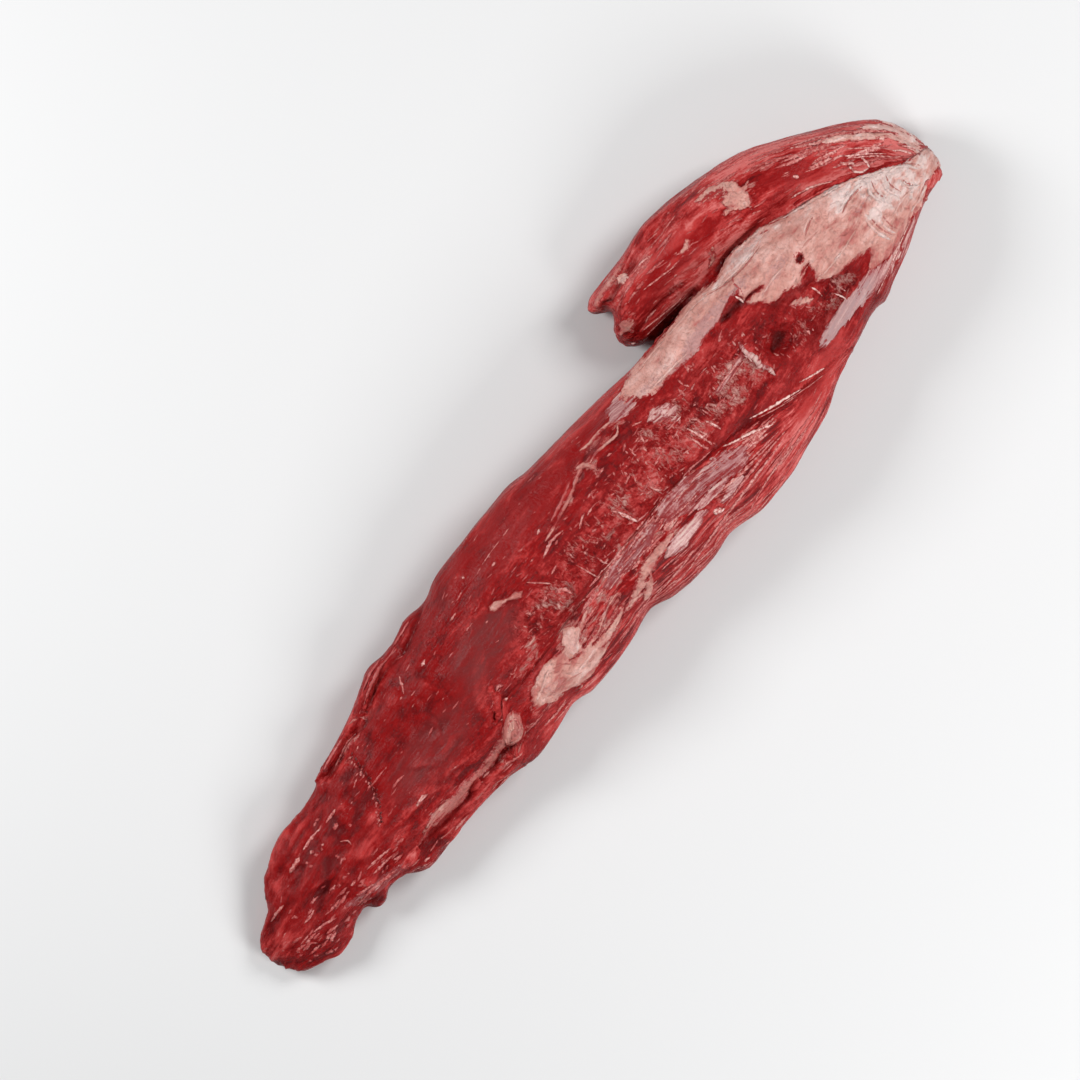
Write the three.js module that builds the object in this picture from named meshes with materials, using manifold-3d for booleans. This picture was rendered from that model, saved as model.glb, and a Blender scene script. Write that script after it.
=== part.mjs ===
// A whole raw beef tenderloin, as the butcher lifts it out: one long tapering muscle that lies on its flat side, with
// the thin tail at one end, the thick head at the other, and the side muscle folded back along the head's left flank.
// The side muscle is one with the head at the tip and ends free, in a torn two-lobed end, with a narrow cleft between
// it and the main muscle.
//
// Millimetres. X runs along the meat from tail to head, Y across it towards the side muscle, Z up from the surface
// that it lies on. The origin is under the middle of the whole piece.

import * as THREE from "three";
import { mergeVertices } from "three/addons/utils/BufferGeometryUtils.js";
import Module from "manifold-3d";

// Driving dimensions
const TAIL_X = -273; // the tail's torn end
const HEAD_X = 273; // the head's tip
const END_ROUND = 9; // how far the main muscle's two ends take to round off
const RING_STEP = 5.4; // spacing of the main muscle's cross-sections
const RING_POINTS = 42; // points round each cross-section of the main muscle
const TOP_SHARE = 0.66; // share of those points above the widest line
const WIDEST_AT = 0.42; // height of the widest line, as a share of the thickness
const TOP_ROUNDNESS = 2.25; // 2 is an ellipse, more is squarer
const BASE_ROUNDNESS = 2.7;
const BASE_SETTLE = 2.6; // how deep the underside is pressed flat

// The main muscle's edge on the side muscle's side, [x, y], from tail to head
const LEFT_EDGE = [
  [-273, -5], [-270, -2], [-264, -0.5], [-252, 3.5], [-246, 11.5], [-240, 15.5], [-228, 20], [-218, 23], [-204, 22.2],
  [-186, 24.2], [-180, 27], [-162, 29.5], [-144, 33], [-132, 37], [-120, 40.5], [-112, 38.6], [-103, 38], [-90, 41],
  [-77, 38.6], [-60, 42], [-6, 42], [12, 38.2], [42, 34.2], [66, 31], [90, 27.6], [120, 26.5], [150, 25.5], [178, 22],
  [195, 22], [215, 24], [235, 17], [250, 9], [262, 3], [269, -1], [273, -7],
];
// The main muscle's other edge
const RIGHT_EDGE = [
  [-273, -22], [-270, -28], [-264, -32], [-252, -37.2], [-246, -40.8], [-228, -36.5], [-221, -35], [-216, -41.2],
  [-210, -41.8], [-204, -39], [-192, -42.5], [-187, -48], [-180, -49.8], [-146, -49.8], [-126, -51.3], [-114, -54.5],
  [-103, -58], [-90, -57.5], [-69, -55.2], [-58, -58.8], [-40, -59.6], [-24, -58.8], [-7, -56.5], [6, -61.8],
  [24, -65.5], [37, -66.5], [49, -65], [60, -67.5], [72, -71.2], [92, -71.2], [110, -68.8], [130, -66], [150, -59.5],
  [172, -55.6], [189, -52.6], [195, -54.8], [204, -51.8], [222, -47.4], [240, -41.4], [252, -38.4], [264, -37.4],
  [270, -33], [273, -25],
];
// Thickness along the main muscle, [x, height]
const THICKNESS = [
  [-273, 13], [-255, 20], [-220, 26], [-180, 31], [-140, 37], [-100, 43], [-50, 49], [0, 53], [60, 57], [120, 60],
  [165, 61], [200, 58], [228, 52], [248, 44], [263, 35], [273, 26],
];
// Where the crest lies across the main muscle, [x, share of the width from the right edge]
const CREST = [
  [-273, 0.5], [-180, 0.5], [-60, 0.56], [40, 0.58], [120, 0.62], [180, 0.56], [273, 0.5],
];

// The side muscle from the head's tip to its free end: where its middle runs, half its width, its top and underside
const SIDE_MUSCLE = [
  { x: 262, y: -20, half: 10.5, top: 32, base: 6 },
  { x: 258.5, y: -3, half: 12.5, top: 38, base: 4 },
  { x: 243.5, y: 10, half: 14.5, top: 45, base: 0 },
  { x: 220.5, y: 22.5, half: 18.7, top: 49, base: 0 },
  { x: 199.5, y: 32.5, half: 22.5, top: 50, base: 0 },
  { x: 175.5, y: 40, half: 23.5, top: 48, base: 0 },
  { x: 148, y: 46, half: 23.8, top: 45, base: 0 },
  { x: 125, y: 48.5, half: 19.7, top: 41, base: 0 },
  { x: 98, y: 48.8, half: 19.6, top: 36, base: 0 },
];
const SIDE_RINGS = 34;
const SIDE_POINTS = 26;
const SIDE_END_ROUND = 7;
const SIDE_ROUNDNESS = 2.3;
// The two lobes of its torn end and the notch between them, as y, reach beyond the end and half width
const TORN_LOBES = [
  { y: 40, reach: -5.5, half: 8 },
  { y: 54.5, reach: 6, half: 4.5 },
  { y: 63, reach: -5, half: 4.5 },
];
const TORN_NOTCH_Y = 54.5;
const TORN_LENGTH = 20; // how far in from the end the lobes fade out

// Furrows between muscles and lifted ridges, as the line they follow in plan, half width and depth (a ridge is below 0)
const FURROWS = [
  { name: "left side strip", half: 3.5, depth: 3.2, line: [[-168, 22], [-150, 26], [-122, 31], [-100, 33], [-78, 37]] },
  { name: "tail fat seam", half: 4, depth: 3.4, line: [[-180, -38], [-160, -40], [-138, -41.5], [-112, -42]] },
  { name: "chain seam", half: 5, depth: 2.8, line: [[-92, -27], [-40, -27], [20, -27], [70, -33], [112, -43], [152, -51]] },
  { name: "under the fat sheet", half: 5, depth: 3, line: [[84, 6], [112, 3], [134, 3], [150, -2], [166, -15], [184, -19]] },
  { name: "head hollow", half: 7, depth: 3.6, line: [[168, -33], [184, -34], [200, -34]] },
  { name: "cut cross ridge", half: 4.5, depth: -2.4, line: [[131, -9], [129, -20], [131, -31]] },
  { name: "left membrane ridge", half: 3.5, depth: -1.6, line: [[-6, 10], [18, 12], [34, 16], [62, 20]] },
  { name: "head silver ridge", half: 5, depth: -2, line: [[160, -43], [186, -43], [214, -38], [238, -36]] },
  { name: "chain crest", half: 9, depth: -2.6, line: [[-80, -42], [-30, -44], [30, -44], [80, -48], [120, -54]] },
  { name: "tail fold", half: 4, depth: 2, line: [[-238, -18], [-222, -12], [-204, -11]] },
  { name: "tail scar", half: 3, depth: 1.4, line: [[-164, 18], [-168, 4], [-172, -6], [-184, -17]] },
  { name: "side muscle fold", half: 3.5, depth: 3.2, line: [[97, 58], [112, 60.5], [134, 62], [156, 61]] },
  { name: "side muscle seam", half: 3.5, depth: 1.8, line: [[98, 36], [124, 37], [152, 34], [176, 31]] },
];
// Hollows in the top, as centre, half length, half width and depth (a mound is below 0)
const HOLLOWS = [
  { name: "cut pit", x: 144, y: -22, long: 17, wide: 11, depth: 5.5 },
  { name: "smooth dish", x: -132, y: -8, long: 42, wide: 20, depth: 2.2 },
  { name: "rough trough", x: 20, y: -10, long: 74, wide: 17, depth: 2.6 },
  { name: "side patch", x: -56, y: -42, long: 28, wide: 12, depth: -2.2 },
  { name: "tail lump", x: -226, y: -2, long: 20, wide: 13, depth: -2 },
  { name: "head crown", x: 222, y: -18, long: 28, wide: 14, depth: -2 },
];
// Soft swells of the muscle bundles: length and width of a swell, and height
const SWELLS = [
  { long: 96, wide: 34, height: 0.9, turn: 0.4 },
  { long: 57, wide: 21, height: 0.8, turn: 1.9 },
  { long: 31, wide: 15, height: 0.5, turn: 3.1 },
];

// Reads a list of [x, value] at x, along a smooth curve that never overshoots between two neighbours.
function along(list, x) {
  if (x <= list[0][0]) return list[0][1];
  const last = list.length - 1;
  if (x >= list[last][0]) return list[last][1];
  const i = list.findIndex(([px]) => px > x) - 1;
  const slope = (k) => (list[k + 1][1] - list[k][1]) / (list[k + 1][0] - list[k][0]);
  const tangent = (k) => {
    if (k === 0 || k === last || slope(k - 1) * slope(k) <= 0) return 0;
    return (2 * slope(k - 1) * slope(k)) / (slope(k - 1) + slope(k));
  };
  const span = list[i + 1][0] - list[i][0];
  const t = (x - list[i][0]) / span;
  const bend = t * t * (3 - 2 * t);
  return (
    list[i][1] + (list[i + 1][1] - list[i][1]) * bend +
    span * t * (1 - t) * ((1 - t) * tangent(i) - t * tangent(i + 1))
  );
}

// A bell that is 1 at 0 and 0 from 1 on.
const bell = (d) => (d >= 1 ? 0 : (1 - d * d) ** 2);

// Distance in plan from (x, y) to a line of points.
function distanceTo(line, x, y) {
  let nearest = Infinity;
  for (let i = 0; i + 1 < line.length; i++) {
    const [ax, ay] = line[i];
    const [dx, dy] = [line[i + 1][0] - ax, line[i + 1][1] - ay];
    const t = THREE.MathUtils.clamp(((x - ax) * dx + (y - ay) * dy) / (dx * dx + dy * dy), 0, 1);
    nearest = Math.min(nearest, Math.hypot(x - ax - t * dx, y - ay - t * dy));
  }
  return nearest;
}

// How much higher the surface stands at (x, y) than the smooth muscle.
function relief(x, y) {
  let height = 0;
  for (const { line, half, depth } of FURROWS) height -= depth * bell(distanceTo(line, x, y) / (2 * half));
  for (const h of HOLLOWS) height -= h.depth * bell(Math.hypot((x - h.x) / h.long, (y - h.y) / h.wide));
  for (const s of SWELLS) {
    const sway = Math.sin(x / s.long + s.turn * 2);
    height += s.height * Math.sin((2 * Math.PI * x) / s.long + s.turn) *
      Math.cos((2 * Math.PI * y) / s.wide + s.turn + sway);
  }
  return height;
}

const power = (value, exponent) => Math.sign(value) * Math.abs(value) ** exponent;

// One cross-section, as points in the plane across the muscle: u across, z up. fullness shrinks it at the ends.
function section({ left, right, top, base, crest, points, roundness, fullness, reliefAt }) {
  const middle = (left + right) / 2;
  const half = ((left - right) / 2) * Math.sqrt(fullness);
  const height = top - base;
  const widest = base + WIDEST_AT * height;
  const ring = [];
  const upper = Math.round(points * TOP_SHARE);
  for (let i = 0; i < points; i++) {
    const above = i <= upper;
    const angle = above ? (Math.PI * i) / upper : Math.PI * (1 + (i - upper) / (points - upper));
    const [c, s] = [Math.cos(angle), Math.sin(angle)];
    const lean = (crest - 0.5) * 2 * half * Math.max(0, s) ** 2;
    let u = middle + half * power(c, 2 / (above ? roundness : BASE_ROUNDNESS)) + lean;
    let z = widest + (above
      ? (top - widest) * fullness * power(s, 2 / roundness)
      : (widest - base + BASE_SETTLE) * fullness * power(s, 2 / BASE_ROUNDNESS));
    if (above) {
      const lift = reliefAt(u, z) * Math.min(1, 1.6 * s) * fullness;
      u += lift * c * 0.35;
      z += lift;
    }
    ring.push([u, Math.max(z, base)]);
  }
  return ring;
}

// Skins a row of rings of equal length into one closed geometry, with a point in the middle of each end.
function skin(rings, ends) {
  const round = rings[0].length;
  const places = [...rings.flat(), ...ends];
  const faces = [];
  for (let r = 0; r + 1 < rings.length; r++) {
    for (let i = 0; i < round; i++) {
      const [a, b] = [r * round + i, r * round + ((i + 1) % round)];
      faces.push(a, b, a + round, b, b + round, a + round);
    }
  }
  const [first, last] = [places.length - 2, places.length - 1];
  const lastRing = (rings.length - 1) * round;
  for (let i = 0; i < round; i++) {
    faces.push(first, (i + 1) % round, i);
    faces.push(last, lastRing + i, lastRing + ((i + 1) % round));
  }
  const geometry = new THREE.BufferGeometry();
  geometry.setAttribute("position", new THREE.Float32BufferAttribute(places.flat(), 3));
  geometry.setIndex(faces);
  return geometry;
}

// How full a cross-section is at a distance from a rounded end.
function fullnessAt(distance, round) {
  const t = THREE.MathUtils.clamp(distance / round, 0.05, 1);
  return Math.sqrt(1 - (1 - t) ** 2);
}

// The x of each cross-section of the main muscle: closer together in the rounded ends.
function mainStations() {
  const inner = HEAD_X - TAIL_X - 2 * END_ROUND;
  const steps = Math.round(inner / RING_STEP);
  const stations = [];
  const endShares = [0.03, 0.16, 0.4, 0.7];
  for (const share of endShares) stations.push(TAIL_X + share * END_ROUND);
  for (let i = 0; i <= steps; i++) stations.push(TAIL_X + END_ROUND + (inner * i) / steps);
  for (const share of [...endShares].reverse()) stations.push(HEAD_X - share * END_ROUND);
  return stations;
}

// The main muscle, from tail to head.
function mainMuscle() {
  const rings = mainStations().map((x) => {
    const fullness = Math.min(fullnessAt(x - TAIL_X, END_ROUND), fullnessAt(HEAD_X - x, END_ROUND));
    return section({
      left: along(LEFT_EDGE, x),
      right: along(RIGHT_EDGE, x),
      top: along(THICKNESS, x),
      base: 0,
      crest: along(CREST, x),
      points: RING_POINTS,
      roundness: TOP_ROUNDNESS,
      fullness,
      reliefAt: (y) => relief(x, y),
    }).map(([y, z]) => [x, y, z]);
  });
  const end = (x) => [
    x, (along(LEFT_EDGE, x) + along(RIGHT_EDGE, x)) / 2, WIDEST_AT * along(THICKNESS, x),
  ];
  return skin(rings, [end(TAIL_X), end(HEAD_X)]);
}

// How far the torn end reaches out at y: a lobe pulls it out, the notch pushes it in.
function tornReach(y) {
  return TORN_LOBES.reduce((sum, lobe) => sum + lobe.reach * bell(Math.abs(y - lobe.y) / (1.7 * lobe.half)), 0);
}

// The side muscle, from the head's tip to its torn end. Its cross-sections stand square to the line that it follows.
function sideMuscle() {
  const path = new THREE.CatmullRomCurve3(
    SIDE_MUSCLE.map(({ x, y }) => new THREE.Vector3(x, y, 0)), false, "centripetal",
  );
  const length = path.getLength();
  const sizes = (key) => SIDE_MUSCLE.map((s, i) => [i / (SIDE_MUSCLE.length - 1), s[key]]);
  const [half, top, base] = ["half", "top", "base"].map(sizes);
  const distances = [0.3, 1.6, 4];
  const inner = SIDE_RINGS - 2 * distances.length;
  const places = [
    ...distances,
    ...Array.from({ length: inner }, (_, i) =>
      SIDE_END_ROUND + ((length - 2 * SIDE_END_ROUND) * i) / (inner - 1)),
    ...distances.map((d) => length - d).reverse(),
  ];
  const ends = [];
  const rings = places.map((distance, index) => {
    const t = path.getUtoTmapping(distance / length);
    const centre = path.getPoint(t);
    const forward = path.getTangent(t);
    const across = new THREE.Vector3(-forward.y, forward.x, 0);
    const fullness = Math.min(
      fullnessAt(distance, SIDE_END_ROUND), fullnessAt(length - distance, SIDE_END_ROUND),
    );
    const torn = THREE.MathUtils.clamp(1 - (length - distance) / TORN_LENGTH, 0, 1);
    const place = (u, z) => {
      const p = centre.clone().addScaledVector(across, u);
      return [p.x + tornReach(p.y) * torn * torn, p.y, z];
    };
    const height = along(base, t) + WIDEST_AT * (along(top, t) - along(base, t));
    if (index === 0) ends.push(place(0, height));
    if (index === places.length - 1) ends.push(place((TORN_NOTCH_Y - centre.y) / across.y, height));
    return section({
      left: along(half, t),
      right: -along(half, t),
      top: along(top, t),
      base: along(base, t),
      crest: 0.5,
      points: SIDE_POINTS,
      roundness: SIDE_ROUNDNESS,
      fullness,
      reliefAt: (u) => relief(centre.x + across.x * u, centre.y + across.y * u),
    }).map(([u, z]) => place(u, z));
  });
  return skin(rings, ends);
}

const wasm = await Module();
wasm.setup();

// A closed geometry as a solid for joining.
function toSolid(geometry) {
  const bare = new THREE.BufferGeometry();
  bare.setAttribute("position", geometry.getAttribute("position"));
  bare.setIndex(geometry.getIndex());
  const merged = mergeVertices(bare, 1e-3);
  return new wasm.Manifold(new wasm.Mesh({
    numProp: 3,
    vertProperties: new Float32Array(merged.getAttribute("position").array),
    triVerts: new Uint32Array(merged.getIndex().array),
  }));
}

// A solid as a geometry for drawing.
function toGeometry(solid) {
  const mesh = solid.getMesh();
  const geometry = new THREE.BufferGeometry();
  geometry.setAttribute("position", new THREE.BufferAttribute(new Float32Array(mesh.vertProperties), 3));
  geometry.setIndex(new THREE.BufferAttribute(new Uint32Array(mesh.triVerts), 1));
  geometry.computeVertexNormals();
  return geometry;
}

const rawBeef = new THREE.MeshStandardMaterial({ color: 0x9c2226, roughness: 0.45, metalness: 0 });

const tenderloin = new THREE.Mesh(toGeometry(toSolid(mainMuscle()).add(toSolid(sideMuscle()))), rawBeef);
tenderloin.name = "tenderloin";

const group = new THREE.Group();
group.add(tenderloin);

export default group;
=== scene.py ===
import logging
import math
from dataclasses import dataclass
from enum import Enum
from itertools import pairwise, product

import bpy
import numpy as np
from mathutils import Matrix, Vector
from mathutils.bvhtree import BVHTree


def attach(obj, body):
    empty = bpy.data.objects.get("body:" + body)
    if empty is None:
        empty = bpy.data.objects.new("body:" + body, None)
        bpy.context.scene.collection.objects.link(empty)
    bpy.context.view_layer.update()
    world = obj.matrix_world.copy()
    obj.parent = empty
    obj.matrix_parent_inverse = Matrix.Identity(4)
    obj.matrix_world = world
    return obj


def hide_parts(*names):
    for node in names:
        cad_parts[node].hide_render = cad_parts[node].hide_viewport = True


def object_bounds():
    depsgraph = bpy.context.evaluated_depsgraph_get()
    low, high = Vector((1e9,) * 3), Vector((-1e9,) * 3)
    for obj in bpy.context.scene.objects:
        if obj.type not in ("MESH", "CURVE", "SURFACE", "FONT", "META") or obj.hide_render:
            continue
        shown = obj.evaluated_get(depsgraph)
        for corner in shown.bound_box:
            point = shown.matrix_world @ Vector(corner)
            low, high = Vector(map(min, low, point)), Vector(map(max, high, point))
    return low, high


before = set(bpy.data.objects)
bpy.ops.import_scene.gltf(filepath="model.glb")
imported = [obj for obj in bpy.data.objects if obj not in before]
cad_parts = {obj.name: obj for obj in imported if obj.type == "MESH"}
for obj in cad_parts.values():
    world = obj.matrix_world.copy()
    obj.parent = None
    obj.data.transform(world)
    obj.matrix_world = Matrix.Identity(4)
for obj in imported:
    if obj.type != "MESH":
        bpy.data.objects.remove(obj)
CAD_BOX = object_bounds()

# A whole raw beef tenderloin on a pale floor, seen from straight above.
# Sizes are in millimetres and become metres where a mesh is made. X runs along the meat from tail to head, Y towards
# the side muscle, Z up. Lines and outlines are lists of (x, y) in plan.

MM = 0.001
NODE = "tenderloin"
log = logging.getLogger(NODE)

Points = list[tuple[float, float]]
Path = list[tuple[np.ndarray, np.ndarray]]
Colour = tuple[float, float, float]

# The camera stands straight above this place, and lines and outlines are given as it sees them at SIGHT_HEIGHT
SIGHT_MIDDLE = (-13.3, 10.6)
SIGHT_HEIGHT = 20.0
CAMERA_HEIGHT = 3000.0

# Given as the distance beyond a line where the line doesn't reach
FAR_OUTSIDE = -50.0


def as_seen(points: np.ndarray) -> np.ndarray:
    """Where the camera sees points, as rows of (x, y) at the height of sight."""
    nearer = (CAMERA_HEIGHT - SIGHT_HEIGHT) / (CAMERA_HEIGHT - points[:, 2:])
    return np.array(SIGHT_MIDDLE) + (points[:, :2] - SIGHT_MIDDLE) * nearer


# Numbers that vary over the surface


def lattice_noise(points: np.ndarray, seed: int) -> np.ndarray:
    """Smooth noise from -1 to 1 that repeats for the same seed.

    Args:
        points: places, one row of three each, with one bump about every unit.
        seed: picks one of many patterns.

    Returns:
        One value for each place.
    """
    cell = np.floor(points).astype(np.int64)
    part = points - cell
    eased = part**3 * (part * (part * 6.0 - 15.0) + 10.0)
    total = np.zeros(len(points))
    for corner in product((0, 1), repeat=3):
        place = cell + np.array(corner)
        mixed = (place[:, 0] * 73856093) ^ (place[:, 1] * 19349663) ^ (place[:, 2] * 83492791) ^ (seed * 26544357)
        mixed = ((mixed ^ (mixed >> 13)) * 1274126177) & 0xFFFFFFFF
        mixed = ((mixed ^ (mixed >> 16)) * 2246822519) & 0xFFFFFFFF
        value = ((mixed >> 8) & 0xFFFF) / 32767.5 - 1.0
        total += value * np.prod(np.where(corner, eased, 1.0 - eased), axis=1)
    return total


def layered_noise(points: np.ndarray, size: tuple[float, float, float], seed: int, layers: int) -> np.ndarray:
    """Noise with finer noise on top of it.

    Args:
        points: places in millimetres, one row of three each.
        size: size of the largest bumps along each axis.
        seed: picks one of many patterns.
        layers: how many noises, each half the size and half as strong as the one before.

    Returns:
        One value for each place, mostly between -1 and 1.
    """
    total = np.zeros(len(points))
    for layer in range(layers):
        total += lattice_noise(points / np.array(size) * 2.0**layer + 17.3 * layer, seed + layer) * 0.5**layer
    return total


def ease(value: np.ndarray, low: float, high: float) -> np.ndarray:
    """Goes smoothly from 0 at low to 1 at high."""
    t = np.clip((value - low) / (high - low), 0.0, 1.0)
    return t * t * (3.0 - 2.0 * t)


def across_at(line: Points, x: np.ndarray) -> np.ndarray:
    """The y, at places along X, of a line that runs along X."""
    return np.interp(x, *np.array(line).T)


def line_place(plan: np.ndarray, line: Points) -> tuple[np.ndarray, np.ndarray, np.ndarray]:
    """Where places lie beside a line.

    Args:
        plan: places as rows of (x, y).
        line: the line's points.

    Returns:
        Distance from the line, positive on its left, and the distance run along it, and how far past an end.
    """
    best = np.full(len(plan), np.inf)
    signed, along, past = (np.zeros(len(plan)) for _ in range(3))
    run = 0.0
    for a, b in pairwise(line):
        step = np.subtract(b, a)
        length = float(np.hypot(*step))
        from_a = plan - np.array(a)
        raw = from_a @ step / length
        t = np.clip(raw, 0.0, length)
        gap = from_a - np.outer(t / length, step)
        distance = np.hypot(gap[:, 0], gap[:, 1])
        side = np.where(step[0] * from_a[:, 1] < step[1] * from_a[:, 0], -1.0, 1.0)
        nearer = distance < best
        best = np.where(nearer, distance, best)
        signed = np.where(nearer, distance * side, signed)
        along = np.where(nearer, run + t, along)
        past = np.where(nearer, np.abs(raw - t), past)
        run += length
    return signed, along, past


def area_depth(plan: np.ndarray, outline: Points) -> np.ndarray:
    """How far inside a closed outline places lie.

    Args:
        plan: places as rows of (x, y).
        outline: the outline's corners, without the first one again at the end.

    Returns:
        Distance from the outline, positive inside.
    """
    closed = [*outline, outline[0]]
    distance = np.abs(line_place(plan, closed)[0])
    inside = np.zeros(len(plan), dtype=bool)
    for (ax, ay), (bx, by) in pairwise(closed):
        if ay != by:
            crosses = (ay > plan[:, 1]) != (by > plan[:, 1])
            inside ^= crosses & (plan[:, 0] < (bx - ax) * (plan[:, 1] - ay) / (by - ay) + ax)
    return np.where(inside, distance, -distance)


def near_line(plan: np.ndarray, line: Points, gap: float) -> np.ndarray:
    """Which places are inside a box a gap larger than the line."""
    low, high = np.min(line, axis=0) - gap, np.max(line, axis=0) + gap
    return np.all((plan > low) & (plan < high), axis=1)


def smooth_line(line: Points, step: float) -> np.ndarray:
    """Runs a smooth curve through a line's points.

    Args:
        line: the points to go through.
        step: spacing of the points of the curve.

    Returns:
        Rows of (x, y) along the curve.
    """
    knots = np.array([line[0], *line, line[-1]], dtype=float)
    out = []
    for a, b, c, d in zip(knots[:-3], knots[1:-2], knots[2:-1], knots[3:]):
        count = max(2, int(np.hypot(*(c - b)) / step))
        bend, twist = 2 * a - 5 * b + 4 * c - d, 3 * b - a - 3 * c + d
        for t in np.linspace(0.0, 1.0, count, endpoint=False):
            out.append(0.5 * (2 * b + (c - a) * t + bend * t**2 + twist * t**3))
    return np.array([*out, knots[-1]])


def band(line: Points, half: float) -> Points:
    """The outline of a band along a line, tapered at both ends.

    Args:
        line: the points to go through.
        half: half the band's width.

    Returns:
        The outline's corners in order.
    """
    places = smooth_line(line, 1.6)
    along = np.gradient(places, axis=0)
    across = np.column_stack([-along[:, 1], along[:, 0]]) / np.maximum(np.hypot(*along.T), 1e-6)[:, None]
    share = np.linspace(0.0, 1.0, len(places))
    width = half * np.sin(np.pi * np.clip(share, 0.02, 0.98)) ** 0.45
    left, right = places + across * width[:, None], places - across * width[:, None]
    return [tuple(point) for point in np.vstack([left, right[::-1]]).tolist()]


# Which way the fibres run


@dataclass(frozen=True)
class Fibres:
    """The run of the muscle fibres: along the main muscle, and along the folded side muscle."""

    # The main muscle's middle, as x, y and half width
    middle: tuple[tuple[float, float, float], ...] = (
        (-280, -14, 12), (-246, -14, 27), (-190, -10, 34), (-100, -9, 48), (-40, -9, 51), (30, -14, 51),
        (90, -21, 49), (150, -17, 43), (200, -14, 38), (240, -13, 27), (280, -18, 10),
    )
    # The side muscle's middle from the head's tip, as x, y and half width
    side: tuple[tuple[float, float, float], ...] = (
        (266, -22, 9), (258.5, -3, 12.5), (243.5, 10, 14.5), (220.5, 22.5, 18.7), (199.5, 32.5, 22.5),
        (175.5, 40, 23.5), (148, 46, 23.8), (125, 48.5, 19.7), (94, 48.8, 19.6),
    )
    # The line between the two, from the free end to the head's tip
    cleft: tuple[tuple[float, float], ...] = (
        (80, 29), (125, 27), (140, 25.5), (150, 23.5), (165, 24), (185, 20), (200, 13), (215, 8), (232, 0),
        (250, -11), (262, -19), (280, -26),
    )
    # The seam above the strip of muscle along the right edge, and that edge
    seam: tuple[tuple[float, float], ...] = (
        (-110, -42), (-92, -25), (-70, -28), (-40, -27), (20, -26), (60, -28), (95, -36), (120, -46), (152, -52),
        (170, -56),
    )
    edge: tuple[tuple[float, float], ...] = (
        (-110, -57), (-66, -55), (-40, -59), (-7, -57), (24, -65), (60, -67), (80, -71), (110, -69), (140, -63),
        (152, -59.5), (170, -57),
    )

    def on_strip(self, plan: np.ndarray) -> np.ndarray:
        """Which places belong to the strip along the right edge, as the distance beyond its seam."""
        beyond = across_at(self.seam, plan[:, 0]) - plan[:, 1]
        return np.where((plan[:, 0] < -110.0) | (plan[:, 0] > 166.0), FAR_OUTSIDE, beyond)

    def on_side(self, plan: np.ndarray) -> np.ndarray:
        """Which places belong to the side muscle, as the distance beyond the cleft."""
        beyond = plan[:, 1] - across_at(self.cleft, plan[:, 0])
        return np.where(plan[:, 0] < 86.0, FAR_OUTSIDE, beyond)

    def coordinates(self, points: np.ndarray) -> np.ndarray:
        """Coordinates that follow the fibres.

        Args:
            points: places in millimetres.

        Returns:
            Rows of the distance along the fibres, the distance across them and the height.
        """
        plan = as_seen(points)
        x, y, half = np.array(self.middle).T
        across = (plan[:, 1] - np.interp(plan[:, 0], x, y)) / np.interp(plan[:, 0], x, half) * 46.0
        main = np.column_stack([plan[:, 0], across, points[:, 2]])
        high, low = across_at(self.seam, plan[:, 0]), across_at(self.edge, plan[:, 0])
        share = (plan[:, 1] - high) / np.maximum(high - low, 4.0)
        strip = np.column_stack([plan[:, 0], -60.0 + 30.0 * share, points[:, 2]])
        main = np.where((self.on_strip(plan) > 0.0)[:, None], strip, main)
        spine = [(px, py) for px, py, _ in self.side]
        offset, run, _ = line_place(plan, spine)
        runs = np.cumsum([0.0, *(math.dist(a, b) for a, b in pairwise(spine))])
        width = np.interp(run, runs, [h for _, _, h in self.side])
        folded = np.column_stack([400.0 - run, 90.0 + offset / width * 22.0, points[:, 2]])
        return np.where((self.on_side(plan) > 0.0)[:, None], folded, main)

    def direction(self, x: float, y: float) -> tuple[float, float]:
        """The fibres' direction at one place.

        Args:
            x: the place's x.
            y: the place's y.

        Returns:
            A unit vector in plan.
        """
        place = np.array([[x, y]])
        before, after = x - 5.0, x + 5.0
        if self.on_side(place)[0] > 0.0:
            line = [(px, py) for px, py, _ in self.side]
            nearest = min(range(len(line) - 1), key=lambda i: _segment_gap(x, y, line[i], line[i + 1]))
            (ax, ay), (bx, by) = line[nearest + 1], line[nearest]
        elif self.on_strip(place)[0] > 0.0:
            ax, bx = before, after
            low, a_low, b_low = across_at(self.edge, np.array([x, ax, bx]))
            high, a_high, b_high = across_at(self.seam, np.array([x, ax, bx]))
            share = (y - low) / max(4.0, high - low)
            ay, by = a_low + share * (a_high - a_low), b_low + share * (b_high - b_low)
        else:
            ax, bx = before, after
            knots, middles, halves = np.array(self.middle).T
            middle, a_middle, b_middle = np.interp([x, ax, bx], knots, middles)
            half, a_half, b_half = np.interp([x, ax, bx], knots, halves)
            share = (y - middle) / half
            ay, by = a_middle + share * a_half, b_middle + share * b_half
        length = math.hypot(bx - ax, by - ay)
        return (bx - ax) / length, (by - ay) / length


def _segment_gap(x: float, y: float, a: tuple[float, float], b: tuple[float, float]) -> float:
    """Distance from a place to one straight piece of a line.

    Args:
        x: the place's x.
        y: the place's y.
        a: where the piece starts.
        b: where it ends.

    Returns:
        The distance.
    """
    dx, dy = b[0] - a[0], b[1] - a[1]
    t = min(1.0, max(0.0, ((x - a[0]) * dx + (y - a[1]) * dy) / (dx * dx + dy * dy)))
    return math.hypot(x - a[0] - t * dx, y - a[1] - t * dy)


FIBRES = Fibres()


# Shader nodes


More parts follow.
